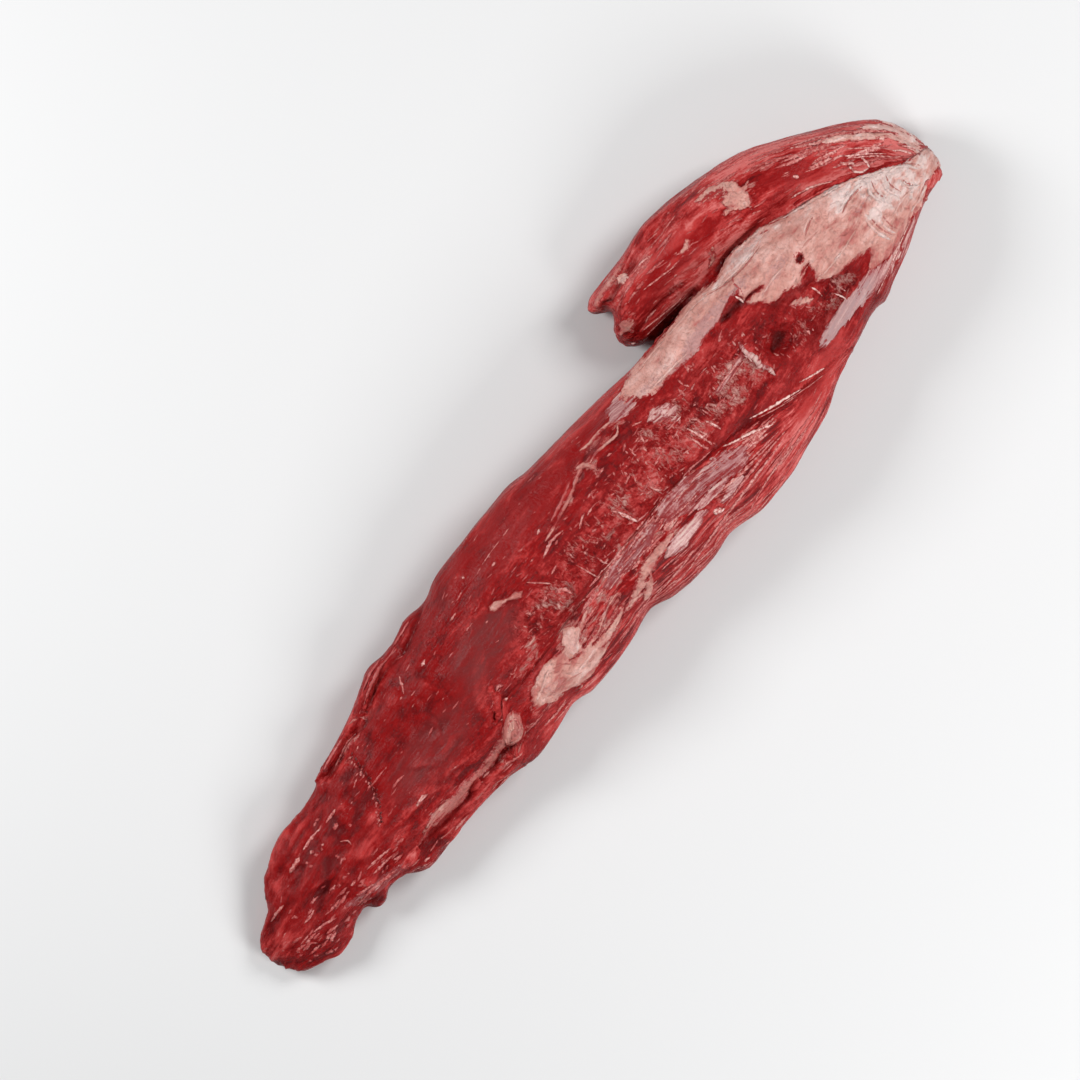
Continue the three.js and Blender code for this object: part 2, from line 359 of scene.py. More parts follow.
class Value:
    """A node's output on a board, which sums can be done with as with a number."""

    def __init__(self, board: "Board", socket: bpy.types.NodeSocket) -> None:
        """Keeps the board and the output."""
        self.board = board
        self.socket = socket

    def __add__(self, other: object) -> "Value":
        """The sum of the two."""
        return self.board.math("ADD", self, other)

    __radd__ = __add__

    def __sub__(self, other: object) -> "Value":
        """This less the other."""
        return self.board.math("SUBTRACT", self, other)

    def __rsub__(self, other: object) -> "Value":
        """The other less this."""
        return self.board.math("SUBTRACT", other, self)

    def __mul__(self, other: object) -> "Value":
        """The two multiplied."""
        return self.board.math("MULTIPLY", self, other)

    def __rtruediv__(self, other: object) -> "Value":
        """The other divided by this."""
        return self.board.math("DIVIDE", other, self)

    def __abs__(self) -> "Value":
        """This without its sign."""
        return self.board.math("ABSOLUTE", self)


class Board:
    """Adds nodes to one shader tree and joins them."""

    def __init__(self, tree: bpy.types.NodeTree) -> None:
        """Takes the tree to add to."""
        self.tree = tree

    def feed(self, socket: bpy.types.NodeSocket, value: object) -> None:
        """Sets a socket.

        Args:
            socket: the socket.
            value: another node's output to join to it, its own value, or None to leave it alone.
        """
        if isinstance(value, Value):
            self.tree.links.new(value.socket, socket)
        elif value is not None:
            socket.default_value = value

    def feed_all(self, node: bpy.types.Node, **inputs: object) -> None:
        """Feeds sockets by name, with _ for each space in a name."""
        for name, value in inputs.items():
            self.feed(node.inputs[name.replace("_", " ")], value)

    def add(self, kind: str, settings: dict | None = None, *places: object, **inputs: object) -> bpy.types.Node:
        """Adds a node.

        Args:
            kind: Blender's name for the node.
            settings: the node's own properties.
            *places: what goes into its first sockets in turn.
            **inputs: what goes into its sockets by name.

        Returns:
            The node.
        """
        node = self.tree.nodes.new(kind)
        for key, value in (settings or {}).items():
            setattr(node, key, value)
        for socket, value in zip(node.inputs, places):
            self.feed(socket, value)
        self.feed_all(node, **inputs)
        return node

    def first(self, *given: object, **inputs: object) -> Value:
        """Adds a node, as add does, and gives its first output."""
        return Value(self, self.add(*given, **inputs).outputs[0])

    def outputs(self, node: bpy.types.Node) -> dict[str, Value]:
        """A node's outputs by name."""
        return {socket.name: Value(self, socket) for socket in node.outputs}

    def math(self, operation: str, *values: object) -> Value:
        """One sum on one or two values."""
        return self.first("ShaderNodeMath", {"operation": operation}, *values)

    def mix(self, share: object, a: object, b: object) -> Value:
        """Mixes two colours.

        Args:
            share: how much of the second.
            a: the first colour.
            b: the second colour.

        Returns:
            A colour between the two.
        """
        a, b = ((*given, 1.0) if isinstance(given, tuple) else given for given in (a, b))
        node = self.add("ShaderNodeMix", {"data_type": "RGBA"}, share, *[None] * 5, a, b)
        return Value(self, node.outputs[2])

    def ramp(self, level: object, colour: object, *steps: tuple[float, float, Colour]) -> Value:
        """Goes from one colour to others as a level rises.

        Args:
            level: the level.
            colour: the colour at low levels.
            *steps: low and high level of each change, and the colour that it ends at.

        Returns:
            The colour.
        """
        for low, high, other in steps:
            colour = self.mix(self.remap(level, low, high), colour, other)
        return colour

    def remap(self, value: object, low: object, high: object, to_low: float = 0.0, to_high: float = 1.0) -> Value:
        """Moves the range from low to high smoothly onto another."""
        settings = {"interpolation_type": "SMOOTHSTEP"}
        return self.first("ShaderNodeMapRange", settings, value, low, high, to_low, to_high)

    def noise(self, vector: object, scale: object, detail: float, roughness: float, distortion: float = 0.0) -> Value:
        """Noise about 0.5, with scale bumps to a unit."""
        inputs = {"Vector": vector, "Scale": scale, "Detail": detail, "Roughness": roughness, "Distortion": distortion}
        return self.first("ShaderNodeTexNoise", **inputs)

    def attribute(self, name: str, output: str = "Fac") -> Value:
        """A value kept on the mesh's points."""
        return self.outputs(self.add("ShaderNodeAttribute", {"attribute_name": name}))[output]

    def stretched(self, vector: object, stretch: object) -> Value:
        """The coordinates with the first one shortened, so that a pattern on them is that much longer along it."""
        squeeze = self.first("ShaderNodeCombineXYZ", None, 1.0 / stretch, 1.0, 1.0)
        return self.first("ShaderNodeVectorMath", {"operation": "MULTIPLY"}, vector, squeeze)

    def bump(self, shader: bpy.types.Node, strength: float, distance: float, height: Value) -> None:
        """Gives a shader fine relief."""
        normal = self.first("ShaderNodeBump", Strength=strength, Distance=distance, Height=height)
        self.feed(shader.inputs["Normal"], normal)


def shared_group(
    name: str, sizes: dict[str, float], outputs: tuple[str, ...]
) -> tuple[Board, dict[str, Value], bpy.types.Node]:
    """Starts a node group that several materials use.

    Args:
        name: the group's name.
        sizes: its number inputs and their values, beside the input Vector.
        outputs: the names of its outputs, all numbers.

    Returns:
        A board to add to it, its inputs and its output node.
    """
    tree = bpy.data.node_groups.new(name, "ShaderNodeTree")
    tree.interface.new_socket("Vector", in_out="INPUT", socket_type="NodeSocketVector")
    for label, value in sizes.items():
        tree.interface.new_socket(label, in_out="INPUT", socket_type="NodeSocketFloat").default_value = value
    for label in outputs:
        tree.interface.new_socket(label, in_out="OUTPUT", socket_type="NodeSocketFloat")
    board = Board(tree)
    return board, board.outputs(board.add("NodeGroupInput")), board.add("NodeGroupOutput")


def fibre_grain_group() -> bpy.types.NodeTree:
    """Streaks along the fibres: broad bundles, narrower streaks, thin threads and a fine speckle.

    Returns:
        The group, with the outputs Bundles, Streaks, Threads and Speckle from about -1 to 1, and Height.
    """
    names = ("Bundles", "Streaks", "Threads", "Speckle")
    board, given, out = shared_group("fibre_grain", {"Stretch": 9.0, "Scale": 1.0}, (*names, "Height"))
    vector = board.first("ShaderNodeVectorMath", {"operation": "SCALE"}, given["Vector"], Scale=given["Scale"])
    long = board.stretched(vector, given["Stretch"])
    noises = (
        board.noise(long, 0.17, 2.0, 0.5, 0.5),
        board.noise(long, 0.42, 3.0, 0.6, 0.6),
        board.noise(long, 0.95, 2.0, 0.6, 0.3),
        board.noise(vector, 0.75, 3.0, 0.65),
    )
    height = sum(noise * share for noise, share in zip(noises, (1.2, 1.0, 0.5, 0.35)))
    board.feed_all(out, Height=height, **{name: (noise - 0.5) * 7.0 for name, noise in zip(names, noises)})
    return board.tree


def fleck_group() -> bpy.types.NodeTree:
    """Ragged pale shreds in clumps, longer along the first coordinate, which are partly painted wet glints.

    Returns:
        The group, with the outputs Mask and Paleness.
    """
    sizes = {"Stretch": 3.0, "Scale": 0.5, "Amount": 0.5}
    board, given, out = shared_group("flecks", sizes, ("Mask", "Paleness"))
    shreds = board.noise(board.stretched(given["Vector"], given["Stretch"]), given["Scale"], 5.0, 0.72, 0.8)
    groups = board.noise(given["Vector"], 0.11, 2.0, 0.5, 0.6)
    level = (shreds - 0.5) * 8.0 + (groups - 0.5) * 4.5
    edge = 2.4 - given["Amount"] * 2.6
    pale = edge + 0.35
    board.feed_all(out, Mask=board.remap(level, edge, edge + 0.38), Paleness=board.remap(level, pale, edge + 1.5))
    return board.tree


def wet_skin_group() -> bpy.types.NodeTree:
    """The fine unevenness of a wet surface, which breaks highlights into small points.

    Returns:
        The group, with the outputs Height and Gloss.
    """
    board, given, out = shared_group("wet_skin", {"Scale": 0.8}, ("Height", "Gloss"))
    beads = board.noise(given["Vector"], given["Scale"], 3.0, 0.6, 0.4)
    pools = board.noise(given["Vector"], 0.09, 3.0, 0.55, 0.8)
    board.feed_all(out, Height=beads, Gloss=board.remap(pools, 0.35, 0.68))
    return board.tree


class Groups:
    """The shared node groups, built once."""

    def __init__(self) -> None:
        """Builds each group."""
        self.grain = fibre_grain_group()
        self.flecks = fleck_group()
        self.wet = wet_skin_group()

    @staticmethod
    def place(board: Board, tree: bpy.types.NodeTree, **inputs: object) -> dict[str, Value]:
        """Puts a group in a material and gives its outputs by name."""
        return board.outputs(board.add("ShaderNodeGroup", {"node_tree": tree}, **inputs))


GROUPS = Groups()


def new_material(name: str) -> tuple[bpy.types.Material, Board, bpy.types.Node]:
    """Starts a material.

    Args:
        name: the material's name.

    Returns:
        The material, a board to add nodes with, and its one Principled shader.
    """
    material = bpy.data.materials.new(name)
    material.use_nodes = True
    return material, Board(material.node_tree), material.node_tree.nodes["Principled BSDF"]


# Finishes


@dataclass(frozen=True)
class RawMeat:
    """Wet red muscle with a lengthwise grain, pale shreds that are partly painted wet glints, duller membrane and
    painted shade in its creases.
    """

    deep: Colour = (0.115, 0.0045, 0.0055)
    plain: Colour = (0.240, 0.0060, 0.0064)
    bright: Colour = (0.430, 0.0340, 0.0320)
    pink: Colour = (0.620, 0.1500, 0.1380)
    membrane: Colour = (0.165, 0.0310, 0.0310)
    shred: Colour = (0.520, 0.1200, 0.1080)
    pale: Colour = (0.740, 0.4000, 0.3500)
    painted_crease_shade: Colour = (0.075, 0.0040, 0.0040)
    roughness: float = 0.36
    cross_turn: float = 84.0

    def material(self) -> bpy.types.Material:
        """Makes the material, which reads every value that Meat keeps on the mesh.

        Returns:
            The material.
        """
        material, board, shader = new_material("raw_meat")
        fibre = board.attribute("fibre", "Vector")
        grain = GROUPS.place(board, GROUPS.grain, Vector=fibre, Stretch=9.0, Scale=1.0)
        calm = 1.0 - board.attribute("calm")
        across = board.attribute("across")
        clouds = board.noise(board.stretched(fibre, 1.8), 0.05, 3.0, 0.6, 0.8)
        blotches = board.noise(board.stretched(fibre, 2.4), 0.19, 4.0, 0.62, 1.2)
        clumps = board.noise(fibre, 0.26, 5.0, 0.68, 0.7) - 0.5

        # How pale the flesh is, from -1, deep red, to 2, pink; tone holds painted light and shade from the relief, and
        # rim partly painted rim light
        level = grain["Streaks"] * (board.attribute("stripes") + 0.06) + grain["Bundles"] * 0.15
        level = level + grain["Threads"] * 0.14 + grain["Speckle"] * 0.26 + (blotches - 0.5) * 3.6
        level = level * calm + (clouds - 0.5) * 2.6 + (clumps + 0.04) * (across * 5.5)
        level = level + board.attribute("tone") + board.attribute("rim")
        colour = board.ramp(level, self.deep, (-1.0, 0.0, self.plain), (0.0, 0.9, self.bright), (0.8, 1.9, self.pink))
        film = board.attribute("membrane") * board.remap(blotches, 0.35, 0.65, 0.9, 0.45)
        colour = board.mix(film, colour, self.membrane)

        # Pale shreds along the fibres and across them, partly painted wet glints, and painted shade darkening the
        # floors of creases and pits
        shreds = board.attribute("shreds")
        turned = board.first("ShaderNodeMapping", Vector=fibre, Rotation=(0.0, 0.0, math.radians(self.cross_turn)))
        flecks = (
            GROUPS.place(board, GROUPS.flecks, Vector=fibre, Stretch=3.6, Scale=0.42, Amount=shreds),
            GROUPS.place(board, GROUPS.flecks, Vector=turned, Stretch=1.7, Scale=0.56, Amount=across),
        )
        for fleck in flecks:
            colour = board.mix(fleck["Mask"] * 0.75, colour, self.shred)
            colour = board.mix(fleck["Paleness"] * (calm * 0.6 + 0.2), colour, self.pale)
        # Painted shade: the crease value darkens furrow floors, ledge feet and pits
        colour = board.mix(board.attribute("crease") * 0.9, colour, self.painted_crease_shade)

        wet = GROUPS.place(board, GROUPS.wet, Vector=fibre, Scale=0.7)
        height = grain["Height"] * (calm * 0.6 + 0.4) + wet["Height"] * 0.5 + clumps * across * 5.0
        for fleck in flecks:
            height = height + fleck["Paleness"] * 0.8
        board.bump(shader, 0.9, 0.0008, height)
        rough = self.roughness - wet["Gloss"] * 0.14
        board.feed_all(shader, Base_Color=colour, Roughness=rough, Specular_IOR_Level=0.10)
        return material


@dataclass(frozen=True)
class FatSheet:
    """Creamy pink fat, whiter where it is thick and crumpled, redder where it thins out; raised crumples are painted
    lighter and their hollows darker, as painted light and shade.
    """

    thin: Colour = (0.47, 0.135, 0.115)
    plain: Colour = (0.61, 0.290, 0.242)
    light: Colour = (0.70, 0.385, 0.335)
    cream: Colour = (0.76, 0.560, 0.520)
    red: Colour = (0.34, 0.024, 0.024)
    mauve: Colour = (0.45, 0.225, 0.215)
    roughness: float = 0.50

    def material(self) -> bpy.types.Material:
        """Makes the material, which reads the mesh's fibre, depth, cream, dull and fold values.

        Returns:
            The material.
        """
        material, board, shader = new_material("fat_sheet")
        fibre = board.attribute("fibre", "Vector")
        depth = board.attribute("depth")
        grain = GROUPS.place(board, GROUPS.grain, Vector=fibre, Stretch=3.0, Scale=0.9)
        clouds = board.noise(board.stretched(fibre, 1.5), 0.075, 4.0, 0.6, 1.2)

        # How thick and white the fat looks
        level = (clouds - 0.5) * 4.6 + grain["Streaks"] * 0.10 + grain["Threads"] * 0.05 + grain["Speckle"] * 0.05
        rim = board.remap(depth, 0.0, 4.0, 0.5, 0.0)
        # Painted light and shade: the fold value makes raised crumples whiter and their hollows darker
        level = level + board.attribute("fold") * 1.7 + board.attribute("cream") - rim
        colour = board.ramp(level, self.thin, (-1.2, -0.1, self.plain), (-0.1, 0.8, self.light), (0.8, 1.7, self.cream))
        dull = grain["Bundles"] * 0.5 + grain["Speckle"] * 0.4 + board.attribute("dull")
        colour = board.mix(board.remap(dull, 0.5, 1.4, 0.0, 0.8), colour, self.mauve)

        # The torn red edge, red showing through and fine cracks
        torn = depth + grain["Streaks"] * 0.6 + grain["Speckle"] * 0.7
        colour = board.mix(board.remap(torn, 0.1, 1.0), self.red, colour)
        shows = board.noise(fibre, 0.22, 5.0, 0.7, 0.5) - board.remap(depth, 0.0, 7.0) * 0.14
        colour = board.mix(board.remap(shows, 0.55, 0.66, 0.0, 0.6), colour, self.thin)
        cracks = board.remap(abs(board.noise(fibre, 0.16, 4.0, 0.65, 1.4) - 0.5), 0.0, 0.010, 0.2, 0.0)
        colour = board.mix(cracks, colour, self.thin)

        wet = GROUPS.place(board, GROUPS.wet, Vector=fibre, Scale=0.45)
        board.bump(shader, 1.0, 0.0014, grain["Height"] * 0.25 + wet["Height"] * 0.9 - cracks)
        board.feed_all(
            shader, Base_Color=colour, Roughness=self.roughness - wet["Gloss"] * 0.16, Subsurface_Weight=0.15,
            Subsurface_Radius=(1.0, 0.5, 0.4), Subsurface_Scale=0.001, Specular_IOR_Level=0.3, Coat_Weight=0.10,
            Coat_Roughness=0.15,
        )
        return material


@dataclass(frozen=True)
class Silverskin:
    """Thin shiny grey-pink membrane with fine lengthwise streaks of red."""

    grey: Colour = (0.35, 0.092, 0.092)
    pale: Colour = (0.58, 0.310, 0.285)
    white: Colour = (0.62, 0.410, 0.365)
    lilac: Colour = (0.39, 0.232, 0.230)
    red: Colour = (0.25, 0.018, 0.019)

    def material(self) -> bpy.types.Material:
        """Makes the material, which reads the mesh's fibre, depth, cream and dull values.

        Returns:
            The material.
        """
        material, board, shader = new_material("silverskin")
        fibre = board.attribute("fibre", "Vector")
        grain = GROUPS.place(board, GROUPS.grain, Vector=fibre, Stretch=14.0, Scale=1.1)
        cream = board.attribute("cream")
        dull = board.attribute("dull")
        level = grain["Streaks"] * 0.80 + grain["Threads"] * 0.40 + grain["Speckle"] * 0.30
        colour = board.ramp(level + cream, self.grey, (-0.2, 1.3, self.pale), (0.9, 1.9, self.white))
        colour = board.mix(dull * board.remap(level, -0.8, 0.8, 1.0, 0.4), colour, self.lilac)
        torn = board.remap(board.attribute("depth"), 0.0, 2.5, 0.0, 0.75) + level + grain["Bundles"] * 0.30
        torn = torn + (cream + dull * 0.4) * 0.9
        colour = board.mix(board.remap(torn, 0.10, 0.80), self.red, colour)
        board.bump(shader, 0.8, 0.0009, grain["Height"])
        board.feed_all(
            shader, Base_Color=colour, Roughness=0.36, Specular_IOR_Level=0.35, Coat_Weight=0.15, Coat_Roughness=0.12
        )
        return material


@dataclass(frozen=True)
class Strand:
    """Loose ends and threads, from red through pink to cream; the pale ones are partly painted wet highlights."""

    dark: Colour = (0.085, 0.004, 0.004)
    meat: Colour = (0.27, 0.016, 0.016)
    red: Colour = (0.42, 0.070, 0.064)
    pink: Colour = (0.58, 0.220, 0.195)
    cream: Colour = (0.80, 0.550, 0.500)

    def material(self) -> bpy.types.Material:
        """Makes the material, which reads the mesh's tint and middle values.

        Returns:
            The material.
        """
        material, board, shader = new_material("strand")
        place = board.outputs(board.add("ShaderNodeTexCoord"))["Object"]
        mottle = board.noise(place, 650.0, 4.0, 0.65)
        tint = board.attribute("tint") + board.remap(mottle, 0.3, 0.7, -0.45, 0.35)
        colour = board.ramp(tint, self.dark, (-1.2, -0.5, self.red), (0.0, 0.5, self.pink), (0.5, 1.0, self.cream))
        worn = board.attribute("middle") + board.remap(mottle, 0.3, 0.7, -0.9, 0.9)
        colour = board.mix(board.remap(worn, 0.0, 1.2), self.meat, colour)
        board.bump(shader, 0.5, 0.0004, mottle)
        board.feed_all(
            shader, Base_Color=colour, Roughness=0.42, Specular_IOR_Level=0.3, Coat_Weight=0.1, Coat_Roughness=0.12
        )
        return material


# Meshes


def deselect() -> None:
    """Leaves nothing selected."""
    bpy.ops.object.select_all(action="DESELECT")


def make_active(piece: bpy.types.Object) -> None:
    """Selects one object alone.

    Args:
        piece: the object.
    """
    deselect()
    piece.select_set(True)
    bpy.context.view_layer.objects.active = piece


def apply_modifier(piece: bpy.types.Object, kind: str, **settings: object) -> None:
    """Adds a modifier with its settings and applies it.

    Args:
        piece: the object to change.
        kind: Blender's name for the modifier.
        **settings: the modifier's properties.
    """
    make_active(piece)
    modifier = piece.modifiers.new(kind.lower(), kind)
    for key, value in settings.items():
        setattr(modifier, key, value)
    bpy.ops.object.modifier_apply(modifier=modifier.name)


def get_each(items: bpy.types.bpy_prop_collection, name: str, width: int) -> np.ndarray:
    """Reads a property of everything in one of a mesh's lists.

    Args:
        items: the list.
        name: the property.
        width: how many numbers it has.

    Returns:
        One row of numbers for each item.
    """
    data = np.empty(len(items) * width, dtype=np.float32)
    items.foreach_get(name, data)
    return data.reshape(-1, width).astype(float)


def get_points(piece: bpy.types.Object) -> np.ndarray:
    """The mesh's points in millimetres, one row each."""
    return get_each(piece.data.vertices, "co", 3) / MM


def get_normals(piece: bpy.types.Object) -> np.ndarray:
    """The direction that each point of the mesh faces."""
    return get_each(piece.data.vertices, "normal", 3)


def get_value(piece: bpy.types.Object, name: str) -> np.ndarray:
    """The number that is kept on each point of the mesh under a name."""
    return get_each(piece.data.attributes[name].data, "value", 1)[:, 0]


def set_points(piece: bpy.types.Object, points: np.ndarray) -> None:
    """Moves the mesh's points to places in millimetres."""
    piece.data.vertices.foreach_set("co", (points * MM).astype(np.float32).ravel())
    piece.data.update()


def keep_values(piece: bpy.types.Object, **values: np.ndarray) -> None:
    """Keeps numbers or vectors on each point of the mesh for its material.

    Args:
        piece: the object.
        **values: one number or one row of three for each point, by name.
    """
    for name, data in values.items():
        kind, item = ("FLOAT", "value") if data.ndim == 1 else ("FLOAT_VECTOR", "vector")
        layer = piece.data.attributes.new(name, kind, "POINT")
        layer.data.foreach_set(item, data.astype(np.float32).ravel())


def new_object(name: str, data: bpy.types.ID) -> bpy.types.Object:
    """Puts an object in the scene.

    Args:
        name: the object's name.
        data: its mesh, lamp or camera.

    Returns:
        The object.
    """
    piece = bpy.data.objects.new(name, data)
    bpy.context.scene.collection.objects.link(piece)
    return piece


def dress(piece: bpy.types.Object, material: bpy.types.Material) -> bpy.types.Object:
    """Shades a finished piece smoothly and gives it its material and body.

    Args:
        piece: the piece.
        material: its one material.

    Returns:
        The same piece.
    """
    make_active(piece)
    bpy.ops.object.shade_smooth()
    piece.data.materials.clear()
    piece.data.materials.append(material)
    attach(piece, "root")
    return piece


# The meat


@dataclass(frozen=True)
class Furrow:
    """A crease, or with a negative depth a ridge, that follows a line and fades at its ends; dark is how much painted
    shade darkens its floor.
    """

    line: Points
    half: float
    depth: float
    dark: float = 0.6
    wander: float = 0.8


@dataclass(frozen=True)
class Ledge:
    """The edge of a layer: the left of the line stands higher, and sinks back with distance; its top is painted lighter
    and its foot darker, as painted light and shade.
    """

    line: Points
    height: float
    reach: float = 7.0


@dataclass(frozen=True)
class Spot:
    """A soft oval area, with its half length, half width and turn in degrees."""

    x: float
    y: float
    long: float
    wide: float
    amount: float
    turn: float = 0.0

    def weight(self, plan: np.ndarray) -> np.ndarray:
        """How strongly the area covers places.

        Args:
            plan: places as rows of (x, y).

        Returns:
            A share for each, from 1 in the area's middle to 0 outside.
        """
        c, s = math.cos(math.radians(self.turn)), math.sin(math.radians(self.turn))
        dx, dy = plan[:, 0] - self.x, plan[:, 1] - self.y
        reach = np.hypot((dx * c + dy * s) / self.long, (dy * c - dx * s) / self.wide)
        return 1.0 - ease(reach, 0.55, 1.25)


def total_of(spots: tuple[Spot, ...], plan: np.ndarray) -> np.ndarray:
    """The sum of several soft areas at places in plan."""
    return sum((spot.amount * spot.weight(plan) for spot in spots), np.zeros(len(plan)))


def cover_of(spots: tuple[Spot, ...], plan: np.ndarray) -> np.ndarray:
    """How fully soft areas cover places in plan, from 0 to 1."""
    return np.clip(total_of(spots, plan), 0.0, 1.0)


def facing_up(normals: np.ndarray) -> np.ndarray:
    """How much points face up, from 0 to 1."""
    return ease(normals[:, 2], -0.1, 0.35)


@dataclass
class Meat:
    """The whole red muscle, with its creases, layers and grain."""

    voxel: float = 1.36
    smoothing: int = 10
    # Relief grows between these heights, so that the meat rests flat
    free_above: tuple[float, float] = (0.6, 5.0)
    ledge_wander: float = 1.4
    pit_wander: float = 1.6
    pit_depth: float = 1.7
    furrows: tuple[Furrow, ...] = (
        Furrow([(-184, 22.5), (-176, 21.4), (-168, 22), (-160, 24), (-152, 24.4), (-146, 23.6), (-139, 24),
            (-134, 27)], 1.15, 2.4, 0.75, 0.5),
        Furrow([(-140, 25), (-133, 28.4), (-126, 30.5), (-118, 32), (-108, 32), (-103, 31), (-90, 34),
            (-76, 39)], 0.95, 1.5, 0.45, 0.5),
        Furrow([(-104, 30), (-102.4, 33), (-103.6, 36.6)], 0.9, 1.2, 0.6, 0.3),
        Furrow([(-177, -37.5), (-162, -40), (-150, -41), (-132, -40.5), (-110, -43), (-98, -45)], 1.8, 2.4),
        Furrow([(96, 28.5), (125, 27.5), (138, 25.5), (150, 23)], 2.0, 2.4, 1.0, 0.3),
        Furrow([(148, 23), (156, 24.6), (165, 25), (176, 23.6), (187, 21)], 1.3, 2.0, 0.8, 0.3),
        Furrow([(186, 20), (192, 17), (200, 12)], 1.2, 1.4, 0.6, 0.3),
        Furrow([(-103, -31), (-97, -25)], 1.5, 2.0, 1.0),
        Furrow([(131, 6.5), (142, 6), (152, 4), (162, 0.5)], 2.4, 2.4, 1.0, 0.5),
        Furrow([(-163, 20), (-166, 8), (-170, -3), (-181, -15)], 1.3, 0.6, 0.25),
        Furrow([(-92, -24), (-70, -27), (-40, -25), (-10, -27), (20, -26), (60, -29), (95, -33),
            (120, -44)], 2.2, 0.9, 0.1),
        Furrow([(152, -3), (158, -10), (168, -14), (180, -17), (186, -24), (196, -31)], 1.8, 1.6, 0.5),
        Furrow([(150, -38), (165, -36), (185, -35), (205, -34)], 2.6, 1.4, 0.4),
        Furrow([(190, -49.5), (210, -46), (235, -40)], 1.3, 1.2, 0.6, 0.3),
        Furrow([(98, 37.4), (110, 37), (124, 37.4), (140, 34)], 1.3, 1.2, 0.35),
        Furrow([(104, 51.6), (109, 53.6), (117, 57.8)], 1.3, 1.3, 0.4, 0.4),
        Furrow([(96, 58), (106, 59), (118, 61.5), (136, 62)], 1.7, 2.0, 0.6),
        Furrow([(-262, -1.4), (-254, -3.2), (-246, -2.8), (-236, -4)], 1.1, 1.0, 0.35),
        Furrow([(-233, -9), (-228, -14), (-221, -15.6), (-210, -15)], 1.2, 0.8, 0.3),
        Furrow([(-262, -17), (-250, -19), (-238, -19), (-228, -22)], 1.2, 0.7, 0.25),
        Furrow([(-220, -34.4), (-213, -37), (-205, -36.8)], 1.2, 1.0, 0.6),
        Furrow([(-206, -8), (-198, -12), (-188, -12), (-176, -17)], 1.2, 0.6, 0.25),
        Furrow([(-122, 22), (-117, 14), (-118, 4)], 1.4, 0.9, 0.2),
        Furrow([(-23.4, -13), (-22.8, -18), (-25, -22)], 1.1, 1.6, 0.6, 0.4),
        Furrow([(-51, -7), (-50.4, -10), (-51, -13.4)], 0.9, 1.2, 0.5, 0.4),
        Furrow([(-36, -10), (-34, -14), (-35, -18)], 0.9, 1.2, 0.5, 0.4),
        Furrow([(5, -17.4), (12, -16.6), (20, -17.2)], 0.9, 1.0, 0.4, 0.5),
        Furrow([(26.8, -11), (27, -16), (28, -22)], 0.9, 1.2, 0.5, 0.4),
        Furrow([(70, 6), (69, 1), (71, -5)], 0.9, 1.0, 0.4, 0.5),
        Furrow([(-106, 20), (-103, 10), (-106, 0)], 1.3, 0.8, 0.2),
    )
    ledges: tuple[Ledge, ...] = (
        Ledge([(-8, 9), (5, 11), (20, 14), (28, 17), (36, 20), (58, 20)], 0.9, 6.0),
        Ledge([(129, -9), (128, -20), (130, -32)], 1.6, 5.0),
        Ledge([(-60, -24), (-30, -20), (0, -22), (30, -20)], 0.6, 6.0),
        Ledge([(-252, -4), (-236, -8), (-222, -12), (-204, -11)], 1.1, 6.0),
        Ledge([(-185, -22), (-160, -24), (-135, -28), (-112, -30)], 1.0, 6.0),
        Ledge([(-152, -3), (-147, -11), (-138, -18), (-126, -21), (-114, -18)], 1.0, 5.0),
        Ledge([(-126, -12), (-121, -6), (-122, 2), (-128, 8)], 0.8, 4.0),
        Ledge([(-110, -8), (-107, 2), (-108, 14), (-112, 22)], 0.7, 4.0),
        Ledge([(-240, 12), (-226, 13), (-212, 15), (-196, 14)], 0.8, 5.0),
    )
    # Small pits, sunk and darkened with painted shade
    pits: tuple[Spot, ...] = (
        Spot(142.5, -23.8, 4.4, 2.0, 0.9, 10), Spot(146.5, -22.4, 3.6, 2.2, 0.9, -15),
        Spot(139, -25.0, 2.4, 1.2, 0.5, 20), Spot(153, -19.5, 2.6, 1.0, 0.4, -20), Spot(136, 6.3, 4.0, 1.8, 0.8, -5),
        Spot(-100, -28.0, 3.2, 1.0, 0.8, 45), Spot(145, 5.5, 4.5, 2.0, 0.8, -8), Spot(-172, 23.0, 6.0, 1.2, 0.6, 5),
        Spot(-141, 26.5, 5.0, 1.2, 0.8, 20), Spot(185.4, -5.6, 2.6, 2.2, 0.9), Spot(105.3, 59.7, 2.6, 1.2, 0.9, 10),
        Spot(-178, -38.5, 4.0, 1.2, 0.7, 15), Spot(-212, -38.2, 5.0, 1.5, 0.5, -6),
        Spot(-204, -38.6, 3.0, 1.0, 0.5, 12), Spot(-217, -19, 3.6, 0.6, 0.5, 6), Spot(-215, -17, 4.0, 0.5, 0.4, 4),
        Spot(-141, -42.0, 5.0, 0.9, 0.7, 2),
    )
    hollows: tuple[Spot, ...] = (
        Spot(145, -23, 8, 6.0, 1.4), Spot(158, -28, 12, 8, 1.2), Spot(-132, -10, 34, 13, 0.8),
        Spot(-72, 0, 22, 10, 0.5),
    )
